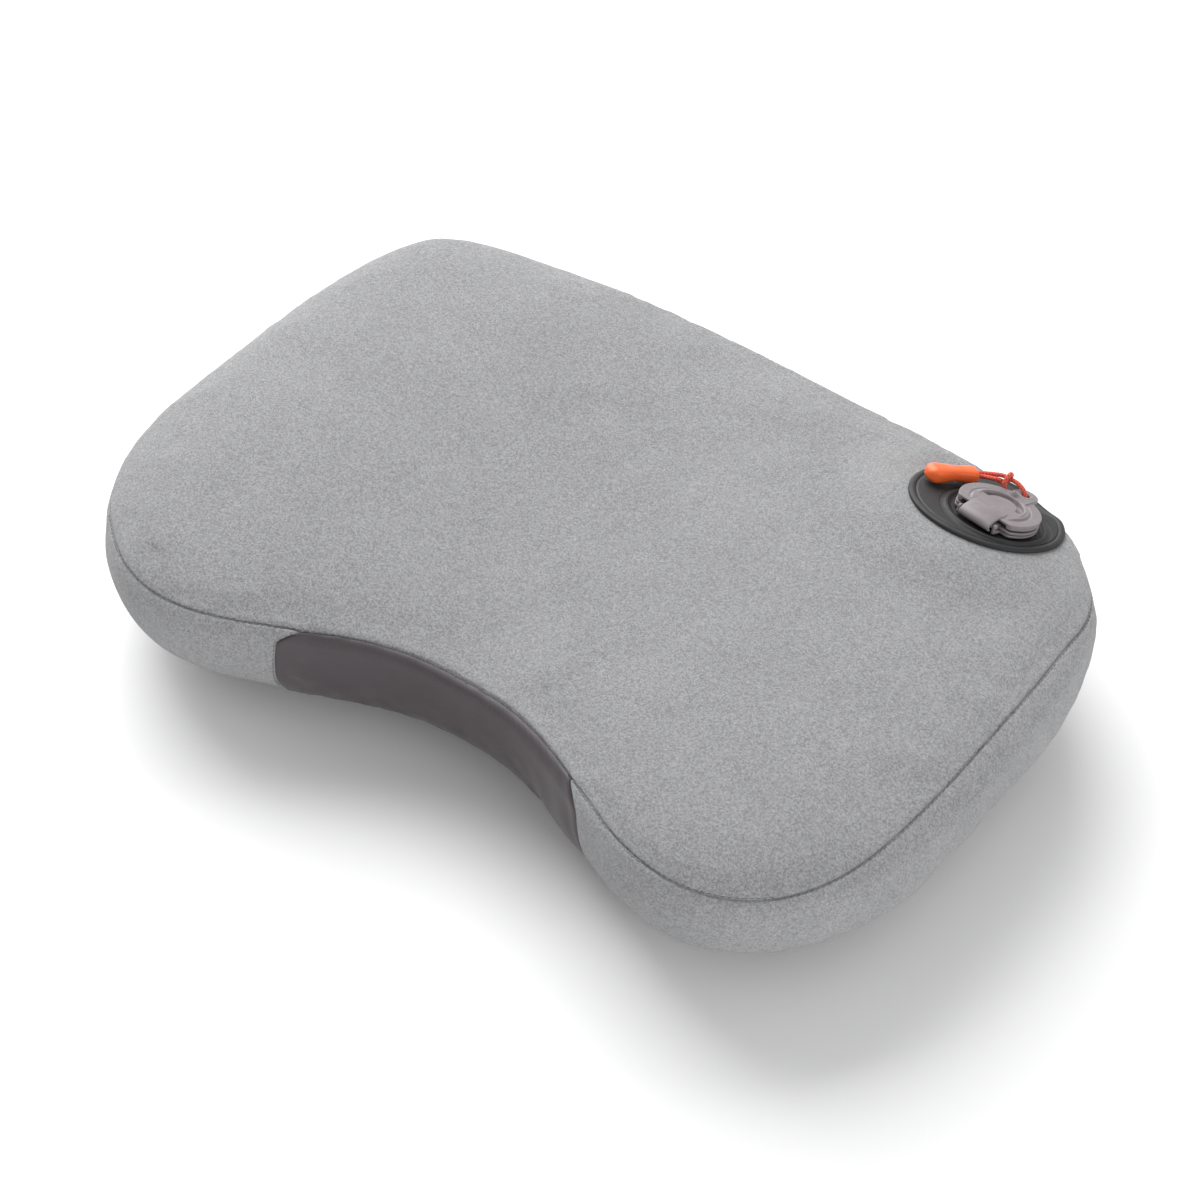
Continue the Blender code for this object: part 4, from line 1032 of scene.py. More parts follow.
class PILLOW_OT_stitches(Operator):
    """Sews the seams: a row of stitches along the top, the base and both ends of the neck panel."""
    bl_idname = "pillow.stitches"
    bl_label = "Stitches"

    def execute(self, context):
        cover = context.scene.pillow_cover
        values = {"Pitch": cover.pitch, "Length": cover.stitch, "Thickness": cover.thread, "Turn": 0.12}
        for which, node in (("top", "top_seam_thread"), ("base", "base_seam_thread"),
                            ("neck_left", "neck_seam_thread_left"), ("neck_right", "neck_seam_thread_right")):
            round_the_pillow = which in ("top", "base")
            row = bar_row(f"stitches_{which}", seam_line(which), round_the_pillow, values, sewing_thread())
            deliver(row, "cushion", [node])
        return {"FINISHED"}


def film_inside(node, name, material):
    """The bladder's film, with a finer mesh, kept inside the cover wherever the cloth has settled."""
    maker = bmesh.new()
    maker.from_mesh(frame["nodes"][node].data)
    bmesh.ops.remove_doubles(maker, verts=maker.verts, dist=1e-6)
    long_edges = [edge for edge in maker.edges if edge.calc_length() > 9 * MM]
    bmesh.ops.subdivide_edges(maker, edges=long_edges, cuts=2, use_grid_fill=True)
    bmesh.ops.triangulate(maker, faces=maker.faces)
    port, axis = Vector(VALVE.origin), Vector(VALVE.z)
    for vertex in maker.verts:
        place, normal, _, _ = skin.tree.find_nearest(vertex.co)
        over = (vertex.co - place).dot(normal) + 2.0 * MM
        away = vertex.co - port
        if over > 0 and (away - axis * away.dot(axis)).length > 15 * MM:
            vertex.co -= normal * over
    mesh = bpy.data.meshes.new(name)
    maker.to_mesh(mesh)
    maker.free()
    mesh.materials.clear()
    mesh.materials.append(material)
    thing = bpy.data.objects.new(name, mesh)
    bpy.context.scene.collection.objects.link(thing)
    face_outwards(thing)
    return thing


class PILLOW_OT_bladder(Operator):
    """Gives the welded air bladder, its ties, the weld ring and the membrane their finishes."""
    bl_idname = "pillow.bladder"
    bl_label = "Bladder"

    def execute(self, context):
        film = moulded("bladder film", (0.33, 0.34, 0.36), 0.32, 900.0, 1.15, 0.3)
        for part in ("top", "wall", "base"):
            piece = film_inside(f"bladder_{part}_film", f"air_bladder_{part}", film)
            deliver(piece, "cushion", [f"bladder_{part}_film"])
        soft = moulded("silicone", (0.55, 0.55, 0.55), 0.38, 2000.0, 1.1)
        grey = moulded("moulded grey", context.scene.pillow_colours.moulded, MOULDED_ROUGH)
        finishes = {"valve_weld_ring": grey, "check_membrane": soft}
        for name in ("baffle_1", "baffle_2", "baffle_3", "valve_weld_ring", "check_membrane"):
            data = frame["nodes"][name].data
            data.materials.clear()
            data.materials.append(finishes.get(name, film))
        return {"FINISHED"}


# ---------------------------------------------------------------- the valve
def circle_rim(angles, radius):
    """A round outline."""
    return np.full_like(angles, radius)


def soft_min(a, b, k):
    """The smaller of two, rounded where they cross."""
    h = np.clip(0.5 + 0.5 * (b - a) / k, 0, 1)
    return b + (a - b) * h - k * h * (1 - h)


def cut_rim(angles, radius):
    """A circle cut off straight in front, with rounded corners at the cut."""
    down = np.maximum(-np.sin(angles), 1e-3)
    return soft_min(np.full_like(angles, radius), PLATE_FRONT / down, 1.2 * MM)


def tongue_rim(angles, radius, length, half):
    """The cap's outline: the cut circle and the pull tab with its round end."""
    centre = length - half
    cos_a, sin_a = np.cos(angles), np.maximum(np.sin(angles), 1e-3)
    straight = half / np.maximum(np.abs(cos_a), 1e-3)
    inside = np.maximum(half ** 2 - (centre * cos_a) ** 2, 0)
    end = np.where(np.abs(centre * cos_a) < half, centre * sin_a + np.sqrt(inside), 0)
    tab = np.where(straight * sin_a < centre, straight, end)
    tab = np.where((np.sin(angles) > 0) & (np.abs(cos_a) * radius < half * 1.5), tab, 0)
    return -soft_min(-cut_rim(angles, radius), -tab, 0.8 * MM)


def plate(name, angles, rim, inner, rows, top, low, edge, material):
    """A closed plate: rings from the inner radius out over the rounded rim and back underneath."""
    cos_a, sin_a = np.cos(angles), np.sin(angles)
    flat_rim = rim - edge
    shares = np.linspace(0, 1, rows)
    rings = []

    def ring(radius, height, drop):
        x, y = radius * cos_a, radius * sin_a
        rings.append(np.stack([x, y, height(x, y) + drop], axis=1))

    centre = np.maximum(inner, 0.02 * MM)
    for part in shares:
        ring(centre + (flat_rim - centre) * part, top, 0)
    for quarter in (0.35, 0.65, 0.88, 1.0):
        bend = quarter * math.pi / 2
        ring(flat_rim + edge * math.sin(bend), top, -edge * (1 - math.cos(bend)))
    for quarter in (1.0, 0.88, 0.65, 0.35):
        bend = quarter * math.pi / 2
        ring(flat_rim + edge * math.sin(bend), low, edge * (1 - math.cos(bend)))
    for part in shares[::-1]:
        ring(centre + (flat_rim - centre) * part, low, 0)
    closed = float(np.max(inner)) > 0
    return solid_of_rings(name, [VALVE.world(r) for r in rings], closed, material)


def revolve(name, profile, material, count=96):
    """A closed ring turned round the port's axis from (radius, height) points."""
    angles = np.linspace(0, 2 * np.pi, count, endpoint=False)
    rings = []
    for r, z in profile:
        rings.append(np.stack([r * np.cos(angles), r * np.sin(angles), np.full(count, z)], axis=1))
    return solid_of_rings(name, [VALVE.world(r) for r in rings], True, material)


def rounded_box(name, low, high, radius, material):
    """A box in the port's frame with rounded edges."""
    maker = bmesh.new()
    bmesh.ops.create_cube(maker, size=1)
    low, high = np.array(low), np.array(high)
    for vertex in maker.verts:
        vertex.co = Vector(low + (np.array(vertex.co) + 0.5) * (high - low))
    bmesh.ops.bevel(maker, geom=maker.edges[:], offset=radius, segments=3, affect="EDGES", profile=0.5)
    for vertex in maker.verts:
        vertex.co = Vector(VALVE.world(np.array(vertex.co)))
    mesh = bpy.data.meshes.new(name)
    maker.to_mesh(mesh)
    maker.free()
    mesh.materials.append(material)
    thing = bpy.data.objects.new(name, mesh)
    bpy.context.scene.collection.objects.link(thing)
    face_outwards(thing)
    return thing


def rod_x(name, radius, half, y, z, material, edge=0.25 * MM):
    """A round rod along the hinge line with rounded ends."""
    angles = np.linspace(0, 2 * np.pi, 32, endpoint=False)
    rings = []
    for x, r in ((-half, radius - edge), (-half + edge * 0.3, radius - edge * 0.3), (-half + edge, radius),
                 (half - edge, radius), (half - edge * 0.3, radius - edge * 0.3), (half, radius - edge)):
        ring = np.stack([np.full(32, x), y + r * np.cos(angles), z + r * np.sin(angles)], axis=1)
        rings.append(VALVE.world(ring))
    return solid_of_rings(name, rings, False, material)


def bump_at(distance, width):
    """A smooth bead that is 1 at no distance."""
    return np.exp(-(distance / width) ** 2)


class PILLOW_OT_disc(Operator):
    """Makes the dark disc with its raised ring, inset line and bevelled rim, laid on the cover."""
    bl_idname = "pillow.disc"
    bl_label = "Disc"

    def execute(self, context):
        valve = context.scene.pillow_valve
        charcoal = moulded("charcoal disc", context.scene.pillow_colours.disc, 0.62, 2600.0, 1.25, 0.35)
        cover = bpy.data.objects["cushion_cover"]
        tree = BVHTree.FromObject(cover, bpy.context.evaluated_depsgraph_get())
        angles = np.linspace(0, 2 * np.pi, 288, endpoint=False)
        offset = VALVE.local(VALVE.disc)[:2]
        toward = np.cos(angles) * offset[0] + np.sin(angles) * offset[1]
        rim = toward + np.sqrt(valve.disc_radius ** 2 - (offset @ offset - toward ** 2))
        inner = circle_rim(angles, DISC_HOLE)

        places = np.linspace(0, 1, 25)
        drops = np.zeros((len(places), len(angles)))
        for i, part in enumerate(places):
            radius = inner + (rim - inner) * part
            for j, angle in enumerate(angles):
                local = np.array([radius[j] * math.cos(angle), radius[j] * math.sin(angle), 14 * MM])
                hit = tree.ray_cast(Vector(VALVE.world(local)), Vector(-VALVE.z))[0]
                drops[i, j] = (VALVE.local(hit)[2] if hit else 0) if radius[j] > 17 * MM else 0
        for _ in range(30):
            padded = np.concatenate([drops[:1], drops, drops[-1:]])
            drops = (padded[:-2] + padded[2:] + np.roll(drops, 1, 1) + np.roll(drops, -1, 1)) / 4

        def laid(x, y):
            radius = np.hypot(x, y)
            part = np.clip((radius - inner) / (rim - inner), 0, 1) * (len(places) - 1)
            low = np.clip(np.floor(part).astype(int), 0, len(places) - 2)
            column = np.arange(len(angles))
            near, beyond = drops[low, column], drops[low + 1, column]
            return np.minimum(near + (beyond - near) * (part - low), 0.25 * MM)

        def from_rim(x, y):
            return valve.disc_radius - np.hypot(x - offset[0], y - offset[1])

        def top(x, y):
            radius, edge = np.hypot(x, y), from_rim(x, y)
            ring = 0.85 * MM * step_up(radius, 20.6, 1.1) * (1 - step_up(radius, 22.6, 1.0))
            dish = -0.35 * MM * (1 - step_up(radius, 19.6, 1.2))
            inset = -0.45 * MM * bump_at(edge - 3.2 * MM, 0.38 * MM)
            lip = 0.25 * MM * bump_at(edge - 1.7 * MM, 0.9 * MM)
            second = -0.18 * MM * bump_at(radius - 24.6 * MM, 0.3 * MM)
            return DISC_TOP + laid(x, y) + ring + dish + inset + lip + second

        def low(x, y):
            return laid(x, y) - 0.15 * MM

        disc = plate("valve_disc", angles, rim, inner, 90, top, low, 0.75 * MM, charcoal)
        deliver(disc, "cushion", ["valve_flange"])
        return {"FINISHED"}


def plate_angles():
    """Angles round a plate, closer together where the pull tab's sides are."""
    near = np.concatenate([np.radians(np.linspace(68, 78, 30)), np.radians(np.linspace(102, 112, 30))])
    return np.unique(np.concatenate([np.linspace(0, 2 * np.pi, 360, endpoint=False), near]))


class PILLOW_OT_seat(Operator):
    """Makes the grey seat: its plate, the neck into the bladder and the two hinge ears."""
    bl_idname = "pillow.seat"
    bl_label = "Seat"

    def execute(self, context):
        valve = context.scene.pillow_valve
        grey = moulded("moulded grey", context.scene.pillow_colours.moulded, MOULDED_ROUGH)
        angles = np.linspace(0, 2 * np.pi, 240, endpoint=False)

        def top(x, y):
            radius = np.hypot(x, y)
            return SEAT_TOP - 0.12 * MM * bump_at(radius - 16.4 * MM, 0.4 * MM)

        rim = cut_rim(angles, valve.stack_radius)
        rim_plate = plate("seat_plate", angles, rim, circle_rim(angles, valve.bore), 30, top,
                          lambda x, y: np.full_like(x, SEAT_LOW), 0.35 * MM, grey)
        neck_low, wall = -5.0 * MM, valve.bore + 2.2 * MM
        profile = [(valve.bore, SEAT_LOW + 0.5 * MM), (wall, SEAT_LOW + 0.5 * MM),
                   (wall, neck_low + 0.3 * MM),
                   (wall - 0.3 * MM, neck_low), (valve.bore + 0.3 * MM, neck_low),
                   (valve.bore, neck_low + 0.3 * MM)]
        pieces = [rim_plate, revolve("seat_neck", profile, grey)]
        for side in (-1, 1):
            near = side * (valve.strap / 2 + 0.7 * MM)
            xs = sorted((near, near + side * 1.4 * MM))
            pieces.append(rounded_box("ear_arm", (xs[0], -HINGE_DISTANCE - 1.2 * MM, SEAT_LOW),
                                      (xs[1], -PLATE_FRONT + 2 * MM, SEAT_TOP), 0.3 * MM, grey))
            pieces.append(rounded_box("ear_post", (xs[0], -HINGE_DISTANCE - 1.2 * MM, SEAT_LOW),
                                      (xs[1], -HINGE_DISTANCE + 1.2 * MM, HINGE_HEIGHT), 0.3 * MM, grey))
            boss = rod_x("ear_boss", HINGE_BOSS, 0.7 * MM, -HINGE_DISTANCE, HINGE_HEIGHT, grey)
            boss.data.transform(Matrix.Translation(Vector(VALVE.x) * (xs[0] + 0.7 * MM)))
            pieces.append(boss)
        deliver(join("valve_seat_plate", pieces), "cushion", ["valve_seat"])
        return {"FINISHED"}


class PILLOW_OT_flap(Operator):
    """Makes the deflate flap: its plate, plug and hinge leaf with the core."""
    bl_idname = "pillow.flap"
    bl_label = "Deflate flap"

    def execute(self, context):
        valve = context.scene.pillow_valve
        grey = moulded("moulded grey", context.scene.pillow_colours.moulded, MOULDED_ROUGH)
        angles = np.linspace(0, 2 * np.pi, 240, endpoint=False)

        def top(x, y):
            radius = np.hypot(x, y)
            seal = 0.25 * MM * bump_at(radius - 7.6 * MM, 0.35 * MM)
            return FLAP_TOP + seal - 0.12 * MM * bump_at(radius - 16.4 * MM, 0.4 * MM)

        rim = cut_rim(angles, valve.stack_radius)
        body = plate("flap_plate", angles, rim, circle_rim(angles, valve.inflate), 40, top,
                     lambda x, y: np.full_like(x, FLAP_LOW), 0.35 * MM, grey)
        plug, low = valve.bore - 0.3 * MM, -0.5 * MM
        bore = plug - 1.4 * MM
        profile = [(bore, FLAP_LOW + 0.4 * MM), (plug, FLAP_LOW + 0.4 * MM), (plug, low + 0.4 * MM),
                   (plug - 0.4 * MM, low), (bore + 0.3 * MM, low), (bore, low + 0.3 * MM)]
        half = valve.strap / 2 + 0.4 * MM
        leaf = rounded_box("flap_leaf", (-half, -HINGE_DISTANCE, HINGE_HEIGHT - 0.45 * MM),
                           (half, -PLATE_FRONT + 2 * MM, HINGE_HEIGHT + 0.35 * MM), 0.2 * MM, grey)
        step = rounded_box("flap_step", (-half, -PLATE_FRONT + 0.3 * MM, FLAP_LOW + 0.2 * MM),
                           (half, -PLATE_FRONT + 2 * MM, HINGE_HEIGHT), 0.2 * MM, grey)
        core = rod_x("flap_core", HINGE_CORE, half, -HINGE_DISTANCE, HINGE_HEIGHT, grey)
        flap = join("deflate_flap_plate", [body, revolve("flap_plug", profile, grey), leaf, step, core])
        deliver(flap, "deflate_flap", ["deflate_flap"])
        return {"FINISHED"}


def strap_piece(material):
    """The band that leaves the cap's plate, folds sharply over the hinge line and tucks back under."""
    valve = bpy.context.scene.pillow_valve
    line = np.array([(-8.6, 7.85), (-10.6, 7.85), (-12.6, 7.70), (-14.6, 7.30), (-16.4, 6.75), (-17.9, 6.00),
                     (-18.75, 5.10), (-18.85, 4.20), (-18.25, 3.45), (-17.5, 3.05), (-16.8, 2.92)]) * MM
    run = run_of(line)
    fine = np.linspace(0, run[-1], 60)
    line = np.stack([np.interp(fine, run, line[:, k]) for k in (0, 1)], axis=1)
    for _ in range(12):
        line[1:-1] = (line[:-2] + 2 * line[1:-1] + line[2:]) / 4
    tangent = np.gradient(line, axis=0)
    tangent /= np.linalg.norm(tangent, axis=1, keepdims=True)
    across = np.stack([tangent[:, 1], -tangent[:, 0]], axis=1)
    half = 0.52 * MM
    outer, inner = line - across * half, line + across * half
    rings = []
    wide = valve.strap / 2
    for x, shrink in ((-wide, 0.55), (-wide + 0.12 * MM, 0.85), (-wide + 0.4 * MM, 1.0),
                      (wide - 0.4 * MM, 1.0), (wide - 0.12 * MM, 0.85), (wide, 0.55)):
        a = line + (outer - line) * shrink
        b = line + (inner - line) * shrink
        loop = np.concatenate([a, b[::-1]])
        rings.append(VALVE.world(np.column_stack([np.full(len(loop), x), loop])))
    vertices, faces = quad_rows(rings, False)
    faces = [tuple(f) for f in faces]
    count, last = len(rings[0]), (len(rings) - 1) * len(rings[0])
    for k in range(count // 2 - 1):
        for start in (0, last):
            faces.append((start + k, start + k + 1, start + count - 2 - k, start + count - 1 - k))
    strap = new_object("cap_strap", vertices, faces, [material])
    face_outwards(strap)
    return strap


class PILLOW_OT_cap(Operator):
    """Makes the inflation cap: plate with its raised ring, deep arc, ribs, pull tab and folded strap."""
    bl_idname = "pillow.cap"
    bl_label = "Inflation cap"

    def execute(self, context):
        valve = context.scene.pillow_valve
        grey = moulded("moulded grey", context.scene.pillow_colours.moulded, MOULDED_ROUGH)
        angles = plate_angles()
        rim = tongue_rim(angles, valve.stack_radius, valve.tongue, valve.tongue_half)

        def top(x, y):
            radius = np.hypot(x, y)
            off = np.abs(np.arctan2(x, y))
            arc = 1 - smooth_share((off - 1.25) / 0.28)
            groove = -1.9 * MM * arc * (step_up(radius, 6.9, 0.7) - step_up(radius, 9.9, 0.5))
            lip = 0.42 * MM * (1 - smooth_share((off - 1.5) / 0.35)) * bump_at(radius - 10.9 * MM, 0.55 * MM)
            in_strap = step_up(-y, 7.5, 2.5) * (np.abs(x) < 10 * MM)
            on_tab = step_up(y, 10.6, 1.0) * (1 - step_up(np.abs(x), 5.0, 0.8))
            band = 0.5 * MM * (1 - step_up(np.abs(x), 7.7, 0.5)) * (y < 0)
            plateau = 0.5 * MM * (1 - step_up(radius, 12.5, 0.6)) * step_up(y, -9, 4)
            line = -0.28 * MM * bump_at(radius - 13.5 * MM, 0.35 * MM) * (off < 2.3) * (1 - on_tab)
            tab = 0.5 * MM * on_tab
            dip = -0.22 * MM * (1 - step_up(radius, 0, 6.5))
            raised = np.maximum(np.maximum(plateau, tab), band * (1 - 0.6 * in_strap))
            hole = np.hypot(x, y - TONGUE_HOLE_Y)
            eyelet = 0.18 * MM * bump_at(hole - 3.0 * MM, 0.5 * MM)
            return CAP_TOP - 0.35 * MM + raised + groove + lip + line + dip * arc + eyelet

        def low(x, y):
            radius = np.hypot(x, y)
            plug = 1 - smooth_share((radius - (valve.inflate - 0.3 * MM)) / (0.15 * MM))
            skirt = step_up(radius, 16.9, 0.15) * (radius < valve.stack_radius + 0.4 * MM)
            tab = step_up(y, 17.2, 0.6) * (np.abs(x) < valve.tongue_half + 1.2 * MM)
            off = np.abs(np.arctan2(x, y))
            bulge = 0.9 * MM * (1 - smooth_share((off - 1.25) / 0.28)) * bump_at(radius - 8.6 * MM, 1.9 * MM)
            plug_depth = plug * (PLATE_LOW - FLAP_LOW - 0.3 * MM)
            depth = np.maximum(plug_depth, skirt * (1 - tab) * (PLATE_LOW - CAP_LOW))
            return PLATE_LOW - np.maximum(depth, bulge)

        body = plate("cap_plate", angles, rim, circle_rim(angles, 0.0), 110, top, low, 0.42 * MM, grey)
        hole = hole_cutter(TONGUE_HOLE_RADIUS, TONGUE_HOLE_Y, PLATE_LOW - 2 * MM, CAP_TOP + 2 * MM)
        body = cut(body, hole)
        body.data.shade_smooth()
        places = VALVE.world(np.array([(0, y, CAP_TOP + 0.02 * MM) for y in np.linspace(11.9, 15.0, 7) * MM]))
        values = {"Pitch": 1.55 * MM, "Length": 9.2 * MM, "Thickness": 0.72 * MM, "Turn": math.pi / 2}
        ribs = bar_row("cap_ribs", places, False, values, grey)
        cap = join("inflation_cap", [body, strap_piece(grey), ribs])
        deliver(cap, "inflate_cap", ["inflate_cap"])
        return {"FINISHED"}


def hole_cutter(radius, y, low, high):
    """A plain round cutter in the port's frame, standing at y."""
    angles = np.linspace(0, 2 * np.pi, 40, endpoint=False)
    rings = []
    for z in (low, high):
        rings.append(VALVE.world(np.stack([radius * np.cos(angles), y + radius * np.sin(angles),
                                           np.full(40, z)], axis=1)))
    return solid_of_rings("hole_cutter", rings, False, None)


# ---------------------------------------------------------------- the cord and its grip
GRIP_MOUTH = (-24.6 * MM, 16.4 * MM)    # the end that the cord goes into
GRIP_TURN = math.radians(247)           # which way the grip points from there
GRIP_SOCKET = ((1.2, 3.6), (2.2, 3.6), (2.45, 3.0), (2.5, 1.0), (2.62, 0.25), (2.85, 0.0))  # radius, depth
STRAND = 1.15 * MM                      # each strand from the middle of the pair
KNOT = np.array((-11.5, 19.7, 8.65)) * MM


def grip_height():
    """Height of the grip's middle over the disc's plane."""
    return 2.0 * MM + bpy.context.scene.pillow_valve.grip_height / 2


def catmull(points, spacing):
    """A smooth curve through the points, with a point about every spacing."""
    points = np.asarray(points)
    ends = np.concatenate([[2 * points[0] - points[1]], points, [2 * points[-1] - points[-2]]])
    route = []
    for index in range(1, len(ends) - 2):
        before, start, finish, after = ends[index - 1:index + 3]
        pieces = max(1, round(np.linalg.norm(finish - start) / spacing))
        for t in np.arange(pieces) / pieces:
            route.append(0.5 * (2 * start + (finish - before) * t
                                + (2 * before - 5 * start + 4 * finish - after) * t * t
                                + (3 * start - before - 3 * finish + after) * t ** 3))
    route.append(points[-1])
    return np.array(route)


def cord_points():
    """From the grip to the knot, over the tab, down its hole, back under it, round the knot, to the grip."""
    axis = np.array([math.cos(GRIP_TURN), math.sin(GRIP_TURN), 0])
    side = np.array([-axis[1], axis[0], 0])
    mouth = np.array([*GRIP_MOUTH, grip_height()])
    inside = mouth + axis * 4.4 * MM
    bend = mouth - axis * 3.4 * MM
    above, below = CAP_TOP + 1.5 * MM, PLATE_LOW - 1.5 * MM
    y = TONGUE_HOLE_Y
    upper = [inside - side * STRAND, mouth - side * STRAND, bend - side * STRAND * 1.05 + [0, 0, 0.3 * MM],
             KNOT + np.array([-3.6, 0.9, 1.3]) * MM, KNOT + np.array([0.2, 1.2, 1.75]) * MM,
             np.array([-6.2 * MM, y + 0.9 * MM, above + 1.0 * MM]),
             np.array([-2.2 * MM, y + 0.3 * MM, above])]
    turn = [np.array([-0.1 * MM, y, (above + below) / 2])]
    lower = [np.array([-2.4 * MM, y - 0.2 * MM, below]),
             np.array([-5.8 * MM, y - 0.9 * MM, below - 0.1 * MM]),
             KNOT + np.array([1.9, -1.5, -2.0]) * MM, KNOT + np.array([1.3, -2.6, 0.4]) * MM,
             KNOT + np.array([0.9, -1.2, 3.2]) * MM, KNOT + np.array([0.6, 1.4, 4.0]) * MM,
             KNOT + np.array([0.2, 3.3, 2.2]) * MM, KNOT + np.array([-0.5, 3.2, -0.4]) * MM,
             KNOT + np.array([-1.6, 1.2, -1.3]) * MM, KNOT + np.array([-3.8, -0.9, -0.6]) * MM,
             bend + side * STRAND * 1.05, mouth + side * STRAND, inside + side * STRAND]
    return VALVE.world(catmull(np.array(upper + turn + lower), 0.45 * MM))


def braid_material():
    """Braided cord: two sets of strands that cross, in the cord's own UV map, with a little fuzz."""
    if "braided cord" in bpy.data.materials:
        return bpy.data.materials["braided cord"]
    tint = bpy.context.scene.pillow_colours.cord
    material = bpy.data.materials.new("braided cord")
    material.use_nodes = True
    tree = material.node_tree
    shader = tree.nodes["Principled BSDF"]
    parts = add_node(tree, "ShaderNodeSeparateXYZ", {0: add_node(tree, "ShaderNodeTexCoord").outputs["UV"]})
    run, around = parts.outputs["X"], parts.outputs["Y"]
    lanes = math_node(tree, "MULTIPLY", around, 2 * math.pi * 4)
    along = math_node(tree, "MULTIPLY", run, 2 * math.pi * 620)
    one = math_node(tree, "SINE", math_node(tree, "ADD", along, lanes))
    two = math_node(tree, "SINE", math_node(tree, "SUBTRACT", along, lanes))
    crossed = math_node(tree, "MAXIMUM", one, two)
    place = add_node(tree, "ShaderNodeTexCoord").outputs["Object"]
    fuzz = noise_node(tree, place, 5200.0, 3.0, 0.65)
    height = math_node(tree, "ADD", math_node(tree, "MULTIPLY", crossed, 0.5),
                       math_node(tree, "MULTIPLY", fuzz, 0.35))
    blend = add_node(tree, "ShaderNodeMix", data_type="RGBA")
    tree.links.new(ramp(tree, height, -0.1, 0.62), blend.inputs["Factor"])
    blend.inputs["A"].default_value = (*[v * 0.50 for v in tint], 1)
    blend.inputs["B"].default_value = (*[min(1, v * 1.18) for v in tint], 1)
    tree.links.new(blend.outputs["Result"], shader.inputs["Base Color"])
    relief = add_node(tree, "ShaderNodeBump", {"Strength": 0.8, "Distance": 0.22 * MM, "Height": height})
    tree.links.new(relief.outputs["Normal"], shader.inputs["Normal"])
    shader.inputs["Roughness"].default_value = 0.78
    shader.inputs["Sheen Weight"].default_value = 0.2
    return material


def tube(name, path, radius, material, sides=16):
    """A tube with closed round ends along the path, with UVs of length along it and share round it."""
    tangent = np.gradient(path, axis=0)
    tangent /= np.linalg.norm(tangent, axis=1, keepdims=True)
    up = np.cross(tangent[0], [0, 0, 1.0])
    up /= np.linalg.norm(up)
    frames = []
    for t in tangent:
        up = up - t * (up @ t)
        up /= np.linalg.norm(up)
        frames.append((up, np.cross(t, up)))
    turn = np.linspace(0, 2 * np.pi, sides, endpoint=False)
    run = run_of(path)
    rings, runs = [], []
    for k, (point, (a, b)) in enumerate(zip(path, frames)):
        rings.append(point + radius * (np.cos(turn)[:, None] * a + np.sin(turn)[:, None] * b))
        runs.append(run[k])
    for index, sign in ((0, -1), (-1, 1)):
        a, b = frames[index]
        tip = path[index] + sign * tangent[index] * radius * 0.5
        ring = tip + radius * 0.6 * (np.cos(turn)[:, None] * a + np.sin(turn)[:, None] * b)
        rings.insert(0, ring) if index == 0 else rings.append(ring)
        runs.insert(0, runs[0]) if index == 0 else runs.append(runs[-1])
    vertices, faces = quad_rows(rings, False)
    faces = [tuple(f) for f in faces]
    last = (len(rings) - 1) * sides
    faces += [tuple(range(sides)), tuple(range(last, last + sides))]
    thing = new_object(name, vertices, faces, [material])
    maker = bmesh.new()
    maker.from_mesh(thing.data)
    bmesh.ops.recalc_face_normals(maker, faces=maker.faces)
    layer = maker.loops.layers.uv.new("UVMap")
    for face in maker.faces:
        columns = [loop.vert.index % sides for loop in face.loops]
        wrap = max(columns) - min(columns) > sides / 2
        for loop, column in zip(face.loops, columns):
            column = sides if wrap and column == 0 else column
            loop[layer].uv = (runs[loop.vert.index // sides], column / sides)
    maker.to_mesh(thing.data)
    maker.free()
    thing.data.shade_smooth()
    return thing


